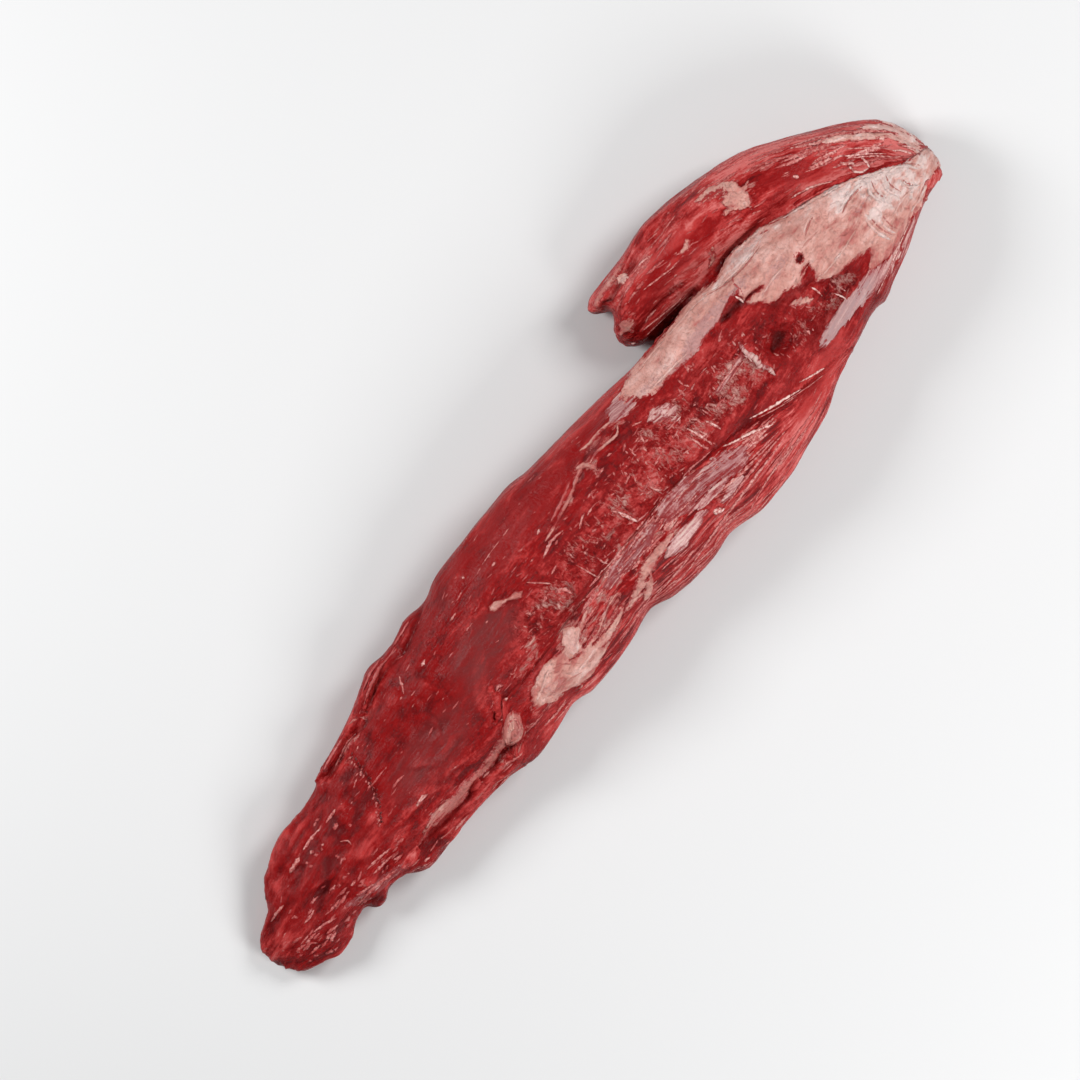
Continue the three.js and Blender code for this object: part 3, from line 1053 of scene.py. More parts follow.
    # Paler and darker areas of the flesh; the dark one at (-213, -38.5) is painted shade in the notch under the tail
    # film
    tones: tuple[Spot, ...] = (
        Spot(-10, 31, 105, 13, -0.15, -2), Spot(150, -20, 20, 24, -0.25), Spot(125, 43, 34, 8, 0.1),
        Spot(145, 33, 60, 7, 0.8, -4), Spot(150, 29.5, 45, 3.5, 0.7, -4), Spot(120, 60, 30, 9, 0.55),
        Spot(225, 8, 42, 7, 0.25, -36), Spot(252, 10, 22, 7, 0.5, -48), Spot(265, -9, 8, 14, 1.6, 0),
        Spot(236, 24, 14, 6, 0.75, -42), Spot(160, 62, 40, 5, -0.35, -6), Spot(-48, -51, 22, 5, -0.25),
        Spot(-14, -52, 16, 4, 0.35), Spot(30, -60, 22, 5, 0.1), Spot(130, -47, 14, 6, -0.45),
        Spot(-82, -52, 12, 5, 0.55), Spot(150, 46, 60, 22, 0.15, -8), Spot(-89, -9, 17, 4.5, 0.75, 38),
        Spot(-240, 4, 14, 5, 0.65, 20), Spot(-262, -12, 9, 9, 0.6), Spot(-160, 27, 20, 4, 0.45, 12),
        Spot(-225, -13, 8, 3, -0.15, -15), Spot(-135, -46.5, 26, 3, 0.4, -3), Spot(-172, -47, 12, 3, -0.4, 0),
        Spot(62, 29.5, 42, 4, 0.7, -7), Spot(-20, 38, 45, 3, 0.45, 0), Spot(172, 45, 15, 7, 0.4, -10),
        Spot(125, 50, 13, 5, -0.45, -4), Spot(-62, -56, 18, 2.5, 1.1, -4), Spot(80, -68, 40, 3.5, 0.35, -3),
        Spot(152, -57, 18, 4, 0.45, 10), Spot(142, -5, 10, 9, 0.25), Spot(164, -22, 9, 5, 0.2),
        Spot(-112, 35, 24, 4, 0.35, 4), Spot(-226, -8, 12, 7, 0.35, -30), Spot(-210, -3, 60, 30, -0.1),
        Spot(-213, -38.5, 7, 2.5, -0.8), Spot(-196, 8, 18, 7, 0.15), Spot(-185, -25, 18, 6, 0.3),
        Spot(-120, -27, 30, 5, 0.25), Spot(80, -63, 95, 9, 0.45, -2), Spot(135, -53, 40, 9, 0.65, 12),
        Spot(20, -22, 110, 14, 0.1), Spot(-130, -47, 60, 5, 0.1), Spot(150, 58, 70, 10, 0.55, -8),
        Spot(205, 50, 40, 10, 0.8, -35), Spot(-215, -2, 55, 20, -0.1), Spot(-110, 0, 60, 30, -0.12),
    )
    membranes: tuple[Spot, ...] = (
        Spot(-74, 0, 26, 13, 0.85), Spot(-132, -13, 36, 13, 0.65), Spot(-90, -12, 12, 7, 0.4),
    )
    calms: tuple[Spot, ...] = (
        Spot(-15, 30, 110, 15, 0.6, -2), Spot(142, 46, 34, 10, 0.75, -6), Spot(222, 20, 26, 9, 0.6, -38),
        Spot(155, -22, 20, 20, 0.35), Spot(-215, 0, 62, 34, 0.52), Spot(-125, 5, 45, 22, 0.5),
        Spot(140, -54, 32, 7, 0.7, 14),
    )
    along_shreds: tuple[Spot, ...] = (
        Spot(-225, -8, 60, 32, 0.12), Spot(-240, -26, 22, 8, 0.22), Spot(-192, -26, 16, 6, 0.36),
        Spot(-160, -28, 26, 5, 0.25), Spot(-120, -44, 70, 7, 0.5), Spot(10, -58, 50, 9, 0.12),
        Spot(95, -60, 60, 11, 0.15), Spot(0, -32, 60, 9, 0.7), Spot(130, 58, 45, 10, 0.5),
        Spot(200, 47, 50, 16, 0.28, -35), Spot(240, 14, 30, 12, 0.12, -40), Spot(-90, -22, 40, 8, 0.5),
        Spot(-45, -22, 30, 6, 0.5), Spot(30, 14, 50, 6, 0.25, 4), Spot(48, 18, 20, 5, 0.2),
        Spot(-150, 10, 40, 16, 0.25), Spot(60, -36, 40, 8, 0.3), Spot(-24, -38, 24, 6, 0.45),
        Spot(95, -10, 14, 4, 0.6), Spot(20, -19, 30, 5, 0.5), Spot(40, 2, 60, 9, 0.35),
    )
    cross_shreds: tuple[Spot, ...] = (
        Spot(133, 35, 7, 4, 0.7), Spot(55, -12, 100, 17, 0.66), Spot(-30, -15, 12, 8, 0.7, -40),
        Spot(-13, -19, 9, 8, 0.25), Spot(-22, -3, 24, 8, 0.2), Spot(25, -14, 6, 9, 0.3), Spot(46, -16, 8, 9, 0.2),
        Spot(66, -14, 9, 10, 0.2), Spot(82, -19, 8, 10, 0.35), Spot(78, 1, 9, 9, 0.45), Spot(64, 6, 6, 9, 0.55),
        Spot(102, -24, 12, 8, 0.15), Spot(122, -30, 18, 10, 0.2), Spot(185, -33, 14, 9, 0.75),
        Spot(158, -26, 22, 18, 0.42), Spot(115, -22, 20, 13, 0.5), Spot(172, -30, 24, 8, 0.3),
        Spot(-50, -9, 14, 10, 0.6), Spot(-45, -20, 20, 7, 0.35),
    )

    def build(self) -> bpy.types.Object:
        """Copies the solid, gives it an even mesh and raises the grain, creases and layers on it.

        Returns:
            The finished piece.
        """
        piece = self._even_copy()
        points = get_points(piece)
        normals = get_normals(piece)
        plan = as_seen(points)
        fibre = FIBRES.coordinates(points)
        lift, crease, shade = self._relief(points, plan, fibre, facing_up(normals))
        points += normals * (lift * ease(points[:, 2], *self.free_above))[:, None]
        points[:, 2] = np.maximum(points[:, 2], 0.0)
        set_points(piece, np.clip(points, *np.array(CAD_BOX) / MM))
        self._keep_values(piece, plan, fibre, crease, shade)
        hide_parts(NODE)
        return dress(piece, RawMeat().material())

    def _even_copy(self) -> bpy.types.Object:
        """Copies the solid with its points merged.

        Returns:
            The copy, as even small faces.
        """
        piece = new_object("meat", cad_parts[NODE].data.copy())
        make_active(piece)
        bpy.ops.object.mode_set(mode="EDIT")
        bpy.ops.mesh.select_all(action="SELECT")
        bpy.ops.mesh.remove_doubles(threshold=1e-6)
        bpy.ops.object.mode_set(mode="OBJECT")
        apply_modifier(piece, "REMESH", mode="VOXEL", voxel_size=self.voxel * MM)
        apply_modifier(piece, "SMOOTH", factor=0.5, iterations=self.smoothing)
        return piece

    def _relief(
        self, points: np.ndarray, plan: np.ndarray, fibre: np.ndarray, upward: np.ndarray
    ) -> tuple[np.ndarray, np.ndarray, np.ndarray]:
        """How far each point is raised.

        Args:
            points: the mesh's points.
            plan: the same points as (x, y).
            fibre: the same points in the fibres' coordinates.
            upward: how much each point faces up.

        Returns:
            The rise in millimetres, how much painted shade darkens each point in creases and pits, from 0 to 1, and how
            far it stands out, which is painted into the tone as light and shade.
        """
        cross = cover_of(self.cross_shreds, plan) * upward
        smooth = cover_of(self.membranes, plan) * upward
        tail = ease(-plan[:, 0], 150.0, 200.0) * upward
        soft = ease(-plan[:, 0], 80.0, 120.0) * upward
        lift = np.zeros(len(points))
        for strength, places, size, seed, layers in (
            (0.50 * (1.0 - 0.6 * smooth), fibre, (46.0, 6.0, 6.0), 11, 2),
            (0.26 * (1.0 - 0.8 * smooth), fibre, (16.0, 2.8, 2.8), 23, 2),
            (0.70 * soft, fibre, (9.0, 6.0, 6.0), 27, 3),
            (0.60 * tail, fibre, (14.0, 8.0, 8.0), 29, 2),
            (0.45 * cross + 0.30 * tail, fibre, (5.0, 9.0, 9.0), 31, 3),
            (0.50 * cross + 0.35 * tail, points, (4.2, 3.4, 3.4), 37, 2),
            (0.30 * cross, points, (2.6, 2.2, 2.2), 39, 2),
        ):
            lift += strength * layered_noise(places, size, seed, layers)
        # The fine relief is kept to be painted into the tone: raised places lighter, low places darker, as painted
        # light and shade
        shade = lift.copy()
        crease = np.zeros(len(points))
        wander = np.column_stack([layered_noise(points, (9.0, 9.0, 9.0), seed, 2) for seed in (41, 43)])
        upper = upward > 0.0
        for furrow in self.furrows:
            near = near_line(plan, furrow.line, 3.0 * furrow.half + 3.0) & upper
            side, ends = self._beside(plan[near] + furrow.wander * wander[near], furrow.line, -0.5, 8.0)
            bell = np.exp(-((side / furrow.half) ** 2)) * ends * upward[near]
            lift[near] -= furrow.depth * bell
            # Painted shade on the furrow's floor
            crease[near] = np.maximum(crease[near], furrow.dark * bell)
        for ledge in self.ledges:
            near = near_line(plan, ledge.line, 3.0 * ledge.reach) & upper
            side, ends = self._beside(plan[near] + self.ledge_wander * wander[near], ledge.line, 0.0, math.inf)
            rise = ease(side, -0.9, 0.9) * np.exp(-np.maximum(side, 0.0) / ledge.reach)
            lift[near] += ledge.height * rise * ends * upward[near]
            # Painted light on the ledge's top and painted shade at its foot
            foot = np.exp(-(((side + 1.1) / 1.1) ** 2)) * ends * upward[near]
            shade[near] += 0.7 * ledge.height * (np.exp(-(((side - 1.2) / 1.6) ** 2)) * ends - foot)
            crease[near] = np.maximum(crease[near], 0.25 * foot)
        lift -= total_of(self.hollows, plan) * upward
        pit = total_of(self.pits, plan + self.pit_wander * wander) * upward
        lift -= self.pit_depth * pit
        return lift, np.maximum(crease, np.clip(1.15 * pit, 0.0, 0.97)), shade

    @staticmethod
    def _beside(plan: np.ndarray, line: Points, start: float, longest: float) -> tuple[np.ndarray, np.ndarray]:
        """Where places lie beside a line that grows from nothing at its ends.

        Args:
            plan: places as rows of (x, y).
            line: the line.
            start: how far from an end it starts to grow.
            longest: how far from an end it is at its full strength at the latest.

        Returns:
            Distance from the line, positive on its left, and the line's strength there.
        """
        side, along, past = line_place(plan, line)
        length = sum(math.dist(a, b) for a, b in pairwise(line))
        grown = ease(np.minimum(along, length - along), start, min(longest, 0.3 * length))
        return side, grown * (1.0 - ease(past, 0.0, 2.0))

    def _keep_values(
        self, piece: bpy.types.Object, plan: np.ndarray, fibre: np.ndarray, crease: np.ndarray, shade: np.ndarray
    ) -> None:
        """Keeps what the material reads on the mesh.

        Args:
            piece: the meat.
            plan: its points as (x, y).
            fibre: its points in the fibres' coordinates.
            crease: how much painted shade darkens each point in creases and pits.
            shade: how far each point stands out from what is round it, painted into the tone as light and shade.
        """
        upward = facing_up(get_normals(piece))
        on_side = FIBRES.on_side(plan)
        # The side muscle's outer band is painted paler: partly its own pink streaks, partly painted rim light
        rim = 1.45 * ease(fibre[:, 1], 92.0, 108.0) * (on_side > 0.0) * ease(plan[:, 0], 130.0, 225.0)
        rim = np.maximum(rim, 0.75 * ease(plan[:, 0], 205.0, 250.0) * (on_side > 0.0)) * upward
        shreds = np.clip(total_of(self.along_shreds, plan), 0.12, 0.95)
        for sheet in Sheets().sheets:
            if sheet.kind is not Cover.MEAT:
                near = near_line(plan, sheet.outline, 8.0)
                halo = 0.32 * ease(area_depth(plan[near], sheet.outline), -4.5, 0.0)
                shreds[near] = np.maximum(shreds[near], np.minimum(0.9, shreds[near] + halo))
        strip = ease(FIBRES.on_strip(plan), -1.0, 3.0)
        striped = np.maximum(strip, 0.55 * ease(on_side, 0.0, 6.0)) * ease(plan[:, 0], -90.0, -30.0)
        calm = np.clip(total_of(self.calms, plan) + 0.6 * total_of(self.membranes, plan), 0.0, 0.78)
        # tone carries painted light and shade from the relief, raised places lighter and hollows darker
        keep_values(
            piece, fibre=fibre, tone=(total_of(self.tones, plan) + 0.60 * shade) * upward,
            membrane=cover_of(self.membranes, plan) * upward, shreds=shreds * upward + 0.1,
            across=cover_of(self.cross_shreds, plan) * upward, crease=crease, rim=rim,
            stripes=0.75 * striped * (1.0 - 0.5 * cover_of(self.calms, plan)), calm=calm * upward,
        )


# Fat and membrane that lie on the meat


class Cover(Enum):
    """What a sheet on the meat is."""

    FAT = "fat"
    SILVERSKIN = "silverskin"
    MEAT = "raw_meat"


@dataclass(frozen=True)
class Sheet:
    """A thin ragged sheet that follows the meat under it and sinks into it at its edge."""

    name: str
    kind: Cover
    outline: Points
    thickness: float = 0.8
    ragged: float = 1.0
    fall: float = 0.8
    fine: int = 2
    slits: tuple[tuple[Points, float], ...] = ()
    creams: tuple[Spot, ...] = ()
    dulls: tuple[Spot, ...] = ()
    crumples: tuple[Spot, ...] = ()
    cream: float = 0.3
    crumple: float = 0.25
    firm: float = 1.0
    least: float = 0.12
    sink: float = 1.1
    body: float = 0.7

    def build(self, meat: bpy.types.Object, material: bpy.types.Material) -> bpy.types.Object:
        """Cuts the sheet out of a copy of the meat's surface, lifts it and closes it underneath.

        Args:
            meat: the piece that it lies on.
            material: its finish.

        Returns:
            The finished piece.
        """
        piece = self._cut_out(meat)
        points = get_points(piece)
        plan = as_seen(points)
        fibre = FIBRES.coordinates(points)
        depth = self._depth(points, plan, fibre)
        crumpled = cover_of(self.crumples, plan)
        # fold is the crumple's rise, which the fat's material also paints as light and shade
        fold = self.crumple * layered_noise(fibre, (7.0, 3.4, 3.4), 71, 3)
        coarse = layered_noise(fibre, (3.4, 13.0, 13.0), 73, 3)
        fold += crumpled * (0.7 * coarse + 0.4 * layered_noise(fibre, (6.0, 4.0, 4.0), 79, 2))
        lift = self.thickness * ease(depth, -0.2, self.fall) + fold
        lift = np.where(depth > 0.0, np.maximum(lift, self.least), 0.0)
        lift -= self.sink * ease(-depth, 0.0, 1.6)
        set_points(piece, points + get_normals(piece) * lift[:, None])
        paleness = "tone" if self.kind is Cover.MEAT else "cream"
        keep_values(
            piece, fibre=fibre, depth=self.firm * depth, **{paleness: self.cream + total_of(self.creams, plan)},
            dull=total_of(self.dulls, plan), fold=fold,
        )
        apply_modifier(piece, "SOLIDIFY", thickness=self.body * MM, offset=-1.0, use_even_offset=False)
        return dress(piece, material)

    def _depth(self, points: np.ndarray, plan: np.ndarray, fibre: np.ndarray) -> np.ndarray:
        """How far inside the ragged edge points are, with the holes taken out.

        Args:
            points: the sheet's points.
            plan: the same points as (x, y).
            fibre: the same points in the fibres' coordinates.

        Returns:
            Distance from the edge, positive inside.
        """
        depth = area_depth(plan, self.outline)
        bits = layered_noise(points, (2.0, 2.0, 2.0), 59, 2)
        depth += self.ragged * (1.5 * layered_noise(fibre, (9.0, 2.4, 2.4), 53, 3) + 0.35 * bits)
        for line, half in self.slits:
            side, _, _ = line_place(plan, line)
            depth = np.minimum(depth, np.abs(side) - half + 0.3 * layered_noise(points, (2.0, 2.0, 2.0), 61, 1))
        return depth

    def _cut_out(self, meat: bpy.types.Object) -> bpy.types.Object:
        """Copies the meat's faces within and just around the outline.

        Args:
            meat: the piece to copy them from.

        Returns:
            The copy, cut finer.
        """
        piece = new_object(self.name, meat.data.copy())
        depth = area_depth(as_seen(get_points(piece)), self.outline)
        keep = (depth > -(2.8 + 1.4 * self.ragged)) & (get_normals(piece)[:, 2] > 0.02)
        make_active(piece)
        bpy.ops.object.mode_set(mode="EDIT")
        bpy.ops.mesh.select_mode(type="VERT")
        bpy.ops.mesh.select_all(action="DESELECT")
        bpy.ops.object.mode_set(mode="OBJECT")
        piece.data.vertices.foreach_set("select", ~keep)
        bpy.ops.object.mode_set(mode="EDIT")
        bpy.ops.mesh.delete(type="VERT")
        bpy.ops.object.mode_set(mode="OBJECT")
        for name in ("fibre", "tone", "membrane", "shreds", "across", "crease", "rim", "stripes", "calm"):
            piece.data.attributes.remove(piece.data.attributes[name])
        apply_modifier(piece, "SUBSURF", levels=self.fine, render_levels=self.fine)
        return piece


@dataclass
class Sheets:
    """Every sheet of fat and silverskin."""

    sheets: tuple[Sheet, ...] = (
        Sheet("head_fat_sheet", Cover.FAT, [(75, 17), (68.4, 19.6), (73, 21), (67.6, 23.2), (75.4, 24.8), (79, 27),
            (100, 26.5), (120, 25), (130, 26.5), (137, 25.5), (149, 21), (160, 24), (170, 24.5), (185, 20.5),
            (200, 13), (215, 8), (225, 4), (232, 0), (240, -5), (250, -12), (258, -17.5), (264, -20), (270, -21),
            (272, -25), (271.5, -30), (268, -33.5), (262, -33), (256, -34), (250, -37.8), (240, -38.5), (225, -40.5),
            (216, -42.6), (208, -41), (203, -38.6), (206, -35), (212, -31), (200, -28.5), (190, -26.5), (182, -20),
            (183, -17), (185, -12), (175, -14.5), (165, -10), (157, -8), (151, 0), (149, 4), (152, 9), (145, 9.5),
            (133, 7), (120, 7.5), (115, 6.5), (100, 9.5), (85, 10.5), (80, 12.5)], thickness=0.8, ragged=0.8, fine=1,
            cream=0.0, crumple=0.36, slits=(([(184.6, -5.8), (186.0, -5.4)], 1.7), ([(147, 3.4), (154, 3),
            (161, 1)], 0.8), ([(180, -11), (186, -11)], 0.4)), creams=(Spot(242, -17, 32, 17, 1.35, -28),
            Spot(84, 19, 12, 6, 0.8), Spot(130, 20, 20, 5, 0.2), Spot(200, -14, 20, 9, -0.1),
            Spot(172, 19, 20, 6, 0.75), Spot(215, 3, 32, 6, 0.75, -22), Spot(168, 2, 14, 8, -0.25),
            Spot(240, -5, 24, 4.5, 0.8, -34), Spot(227, -13, 8, 5, -1.2), Spot(198, 8, 8, 5, -0.25),
            Spot(214, -15, 14, 5, -0.4), Spot(240, -35, 18, 4, -0.4, 8), Spot(165, 20, 24, 4, 0.3),
            Spot(220, -40, 16, 3, -0.5, 8)), dulls=(Spot(118, 10.4, 40, 4.5, 1.35), Spot(168, 3, 18, 10, 0.6),
            Spot(84, 14, 10, 4, 0.6), Spot(228, -13, 9, 5, 0.9), Spot(148, 12, 16, 5, 0.3)),
            crumples=(Spot(240, -18, 30, 17, 1.0, -25), Spot(160, 16, 16, 7, 0.4))),
        Sheet("side_fat_patch", Cover.FAT, [(-84, -40.3), (-80.6, -37), (-76.3, -34), (-71.3, -32.4), (-63, -31.2),
            (-57.5, -32.6), (-51, -33), (-46.9, -30.5), (-41.9, -28.8), (-39.4, -30), (-36.9, -33), (-38, -35.4),
            (-41, -38), (-42, -40.6), (-37, -42.4), (-30, -43), (-20, -44.6), (-15.6, -46), (-22.5, -48.4),
            (-33.8, -50.3), (-42, -52.2), (-50, -54.4), (-55, -54), (-60, -52.8), (-62, -50.3), (-66.3, -47.8),
            (-71.3, -46.8), (-77.5, -45.4), (-81.3, -43)], thickness=0.9, ragged=1.0, cream=0.1, crumple=0.42,
            firm=1.3, creams=(Spot(-59.5, -37.5, 4, 1.6, -0.8, 10), Spot(-51, -41.8, 5, 1.6, -1.0, 20),
            Spot(-77, -38, 6, 3, -0.4), Spot(-68, -34.4, 10, 2.2, 0.7), Spot(-46, -49, 12, 3, 0.4),
            Spot(-57, -50, 6, 2, 0.2), Spot(-27, -46, 11, 4, -0.6), Spot(-70, -42, 7, 3, -0.35)), slits=(([(-53, -40),
            (-49.6, -41.6), (-46, -42.2)], 0.1), ([(-39, -44.2), (-28, -45.4), (-15, -46.8)], 0.3), ([(-38, -48.8),
            (-28, -48.6), (-20, -47.6)], 0.25))),
        Sheet("side_fat_flap", Cover.FAT, [(-50, -32), (-45.6, -29.6), (-42, -28), (-39.4, -29.4), (-36, -33),
            (-38, -35.6), (-41.6, -38.4), (-42.4, -41.6), (-48, -42.4), (-52, -39.8), (-50.6, -36)], thickness=1.25,
            ragged=0.7, fall=1.5, cream=0.7, firm=4.0, crumple=0.42),
        Sheet("tail_fat_strip", Cover.FAT, [(-178, -37.5), (-172, -35.5), (-166, -33.8), (-158, -33), (-150, -33.6),
            (-140, -35), (-128, -37), (-118, -37.4), (-110, -36.8), (-105, -37.6), (-106, -41), (-112, -40.6),
            (-120, -42), (-128, -41.4), (-134, -39.6), (-142, -40.4), (-148, -40.8), (-154, -39.4), (-160, -37.4),
            (-166, -36.4), (-172, -37)], thickness=0.7, ragged=0.7, cream=-1.8,
            creams=(Spot(-157, -34.2, 10, 1.2, 0.6), Spot(-118, -40, 10, 2, 0.5)), firm=0.8),
        Sheet("tail_swirl_lobe", Cover.FAT, [(-107, -37), (-102, -34.4), (-96, -32.2), (-91.6, -32.8), (-91.6, -38),
            (-96, -43), (-101, -45.4), (-106, -44), (-108.4, -41)], thickness=1.6, ragged=0.15, fall=1.6, cream=-1.4,
            creams=(Spot(-97, -36, 6, 2, 0.9, 25),), firm=1.4),
        Sheet("edge_flap", Cover.MEAT, [(-186, 25.5), (-178, 27), (-168, 28.5), (-158, 29.5), (-150, 31),
            (-144, 30.5), (-140, 27), (-140.5, 24.8), (-147, 24.8), (-154, 25.8), (-162, 25), (-170, 23.4),
            (-178, 22.8), (-184, 23.7)], thickness=1.7, ragged=0.25, fall=1.8, cream=0.3),
        Sheet("edge_flap_lobe", Cover.FAT, band([(-153, 29.4), (-148, 28.4), (-143.6, 26.6), (-141, 24.2)], 1.7),
            thickness=2.0, ragged=0.3, fall=1.8, cream=-1.3, firm=0.8),
        Sheet("edge_flap_fold", Cover.FAT, band([(-166, 22.0), (-159, 23.2), (-151, 22.6)], 0.9), thickness=0.7,
            ragged=0.5, cream=-0.8, firm=1.2),
        Sheet("upper_edge_ridge", Cover.MEAT, [(-140, 28.8), (-132, 33), (-124, 36.6), (-116, 37.4), (-109, 35.4),
            (-117, 34), (-126, 31.8), (-133, 28.8), (-138, 26.6)], thickness=1.3, ragged=0.3, fall=1.2, cream=0.45),
        Sheet("red_blob", Cover.MEAT, [(-138, -39.6), (-134, -38.8), (-130.6, -40.6), (-131, -43), (-135, -44),
            (-138.6, -42.4)], thickness=1.5, ragged=0.2, fall=1.8, cream=1.15),
        Sheet("tail_side_lobe", Cover.MEAT, [(-190, -37), (-184, -35.6), (-178, -37), (-178.6, -40), (-184, -41.6),
            (-189, -40)], thickness=1.2, ragged=0.3, fall=1.8, cream=0.75),
        Sheet("torn_red_edge", Cover.MEAT, band([(-103, -31), (-98.4, -27.4), (-94, -24.4), (-91, -20),
            (-89.4, -14.6)], 2.2), thickness=1.3, ragged=0.9, fall=1.2, cream=0.6),
        Sheet("tail_film", Cover.SILVERSKIN, [(-227, -25.6), (-218, -28.6), (-208, -31), (-198, -33.6), (-189, -37),
            (-196, -38), (-206, -36), (-216, -33.8), (-224, -30.4)], thickness=0.3, ragged=0.8, cream=-0.5),
        Sheet("membrane_ridge", Cover.FAT, band([(-12, 8), (-4, 9.0), (8, 11), (18, 13.4), (26, 16.2),
            (31, 17.4)], 0.85), thickness=1.0, ragged=0.4, cream=-0.9, firm=2.0),
        Sheet("hooked_flap", Cover.FAT, band([(27.5, 18.6), (31, 17.4), (33.2, 14), (33.6, 11), (32.2, 7.6)], 1.5),
            thickness=1.2, ragged=0.45, cream=-0.3, firm=1.5),
        Sheet("upper_membrane_line", Cover.FAT, band([(36, 22.6), (42, 21.4), (50, 21.2), (58, 19.6)], 0.7),
            thickness=0.8, ragged=0.2, cream=-0.5, firm=3.0),
        Sheet("lower_membrane_line", Cover.FAT, band([(34, 14.6), (40, 15.6), (47, 14.4), (55, 13.2),
            (59, 16.4)], 0.8), thickness=0.9, ragged=0.2, cream=-0.3, firm=3.0),
        Sheet("cross_ridge", Cover.SILVERSKIN, band([(131.4, -7.6), (130.2, -11), (129.2, -15), (130.4, -19),
            (128.6, -24), (130.2, -28), (129.4, -33)], 1.5), thickness=1.0, ragged=0.25, crumple=0.08, cream=0.6,
            creams=(Spot(129.5, -18, 4, 6, 0.7),), firm=1.5),
        Sheet("cross_ridge_band", Cover.SILVERSKIN, [(103, -14), (112, -12.6), (120, -12), (129, -12.4), (129, -15.2),
            (118, -15), (112, -15.4), (104, -15.6)], thickness=0.3, ragged=1.3, cream=-0.2),
        Sheet("pale_patch", Cover.SILVERSKIN, [(72, 5), (76, 6.5), (80, 4.5), (83, 1), (83, -4), (80, -7.5), (77, -4),
            (73, 0)], thickness=0.4, ragged=1.8, cream=0.35, firm=0.7, slits=(([(75, 3.4), (78, -0.6),
            (80, -5)], 0.3), ([(79, 4), (81.4, 0)], 0.25))),
        Sheet("beige_island", Cover.FAT, [(162.5, -16.5), (168, -17.6), (172.5, -20), (173, -24), (170, -24.6),
            (166, -21)], thickness=0.6, ragged=0.5, cream=0.0),
        Sheet("chain_cream_band", Cover.FAT, band([(-18, -48.4), (-8, -46.8), (2, -44.2), (14, -41.6), (26, -41.0),
            (36, -42)], 2.3), thickness=0.7, ragged=0.9, cream=-0.2, firm=1.1),
        Sheet("chain_cream_tongue", Cover.FAT, band([(-5, -51.2), (0, -50), (5, -47.8), (9, -45)], 1.9),
            thickness=0.8, ragged=0.35, cream=-0.3, firm=1.6),
        Sheet("side_tongue", Cover.FAT, band([(-48, -47.8), (-38, -47.6), (-28, -47.2), (-20, -46),
            (-14, -44.6)], 2.0), thickness=0.9, ragged=0.5, cream=0.0, firm=1.6),
        Sheet("upper_side_tongue", Cover.FAT, band([(-42, -42), (-34, -42.8), (-26, -40.6), (-18, -38.4),
            (-10, -38)], 1.0), thickness=0.7, ragged=0.35, cream=-0.3, firm=2.0),
        Sheet("flap_film", Cover.FAT, band([(-38, -34.4), (-33, -33), (-27, -31.4)], 1.3), thickness=0.5, ragged=0.4,
            cream=-0.3, firm=1.6),
        Sheet("side_muscle_marks", Cover.FAT, [(149.5, 44.4), (152.5, 46.8), (157, 47.6), (157.6, 45), (153.4, 43.4)],
            thickness=0.5, ragged=0.5, cream=-0.2, firm=1.5),
        Sheet("side_muscle_flap", Cover.FAT, [(152.6, 28.8), (156.6, 31.2), (162, 33.8), (160.6, 30.2), (157, 28.6)],
            thickness=0.6, ragged=0.5, cream=0.0),
        Sheet("torn_end_patch", Cover.FAT, [(96.6, 43.6), (100.6, 46.8), (107, 46.4), (107.4, 42), (102, 40.2)],
            thickness=0.4, ragged=1.0, cream=-0.6),
        Sheet("side_muscle_fat", Cover.FAT, [(175, 55.5), (183, 54), (190, 50.5), (195, 47), (196, 41), (200, 40),
            (196, 36), (193, 31), (190, 29.5), (186, 33), (183, 37), (179, 38.5), (182, 41), (183, 45), (187, 46),
            (180, 49), (177, 51)], thickness=0.8, ragged=0.9, cream=0.15, slits=(([(173, 53.4), (181, 51.6),
            (188, 48.4)], 0.35), ([(178, 48.4), (184, 47.8), (189, 45.2)], 0.3))),
        Sheet("fat_nugget", Cover.FAT, [(-59, 8), (-57, 10.2), (-53, 9.8), (-50, 7.4), (-46.4, 5), (-42, 4.2),
            (-40, 1.5), (-43, 0), (-46, 1.8), (-48.6, 4.2), (-53, 5.2), (-57, 6)], thickness=1.3, ragged=0.2,
            cream=-0.45, firm=2.5),
        Sheet("cleft_band", Cover.MEAT, band([(206, 13.6), (212, 11.6), (219, 8.6), (226, 4.8), (233, 0.4),
            (240, -4.8), (248, -9.8), (254, -13.8), (260, -19.4)], 1.6), thickness=0.9, ragged=0.5, fall=1.6,
            cream=0.35),
        Sheet("side_rim_band", Cover.FAT, band([(239, 22.4), (243, 19.6), (248.4, 14.6), (255.4, 7.6), (261.4, 1.2),
            (265.4, -4)], 1.9), thickness=0.8, ragged=0.4, cream=0.9, creams=(Spot(256, 7, 7, 4, 0.4, -50),),
            firm=2.0),
        Sheet("side_rim_tip", Cover.FAT, band([(257, 11.4), (262.6, 4.4), (266.6, -3), (268.4, -10), (268.4, -17),
            (265.6, -23)], 4.0), thickness=0.4, ragged=1.1, cream=1.35, firm=1.2),
        Sheet("torn_end_streak", Cover.FAT, band([(100.4, 62.8), (107, 64), (115, 64.4), (127, 64.8)], 1.6),
            thickness=0.7, ragged=0.7, cream=-1.1, firm=0.9),
        Sheet("cleft_lobe", Cover.FAT, band([(188, 17.4), (193, 16.2), (199, 12.6)], 1.6), thickness=1.2, ragged=0.3,
            cream=-0.3, firm=1.2),
        Sheet("vein_ring", Cover.FAT, [(116.8, 60.4), (118.2, 63), (121.4, 63.2), (123.6, 61), (122.8, 58.2),
            (119, 57.6)], thickness=1.2, ragged=0.3, cream=1.5, firm=3.0, crumple=0.4,
            dulls=(Spot(120.4, 60.5, 0.9, 0.7, 1.0),)),
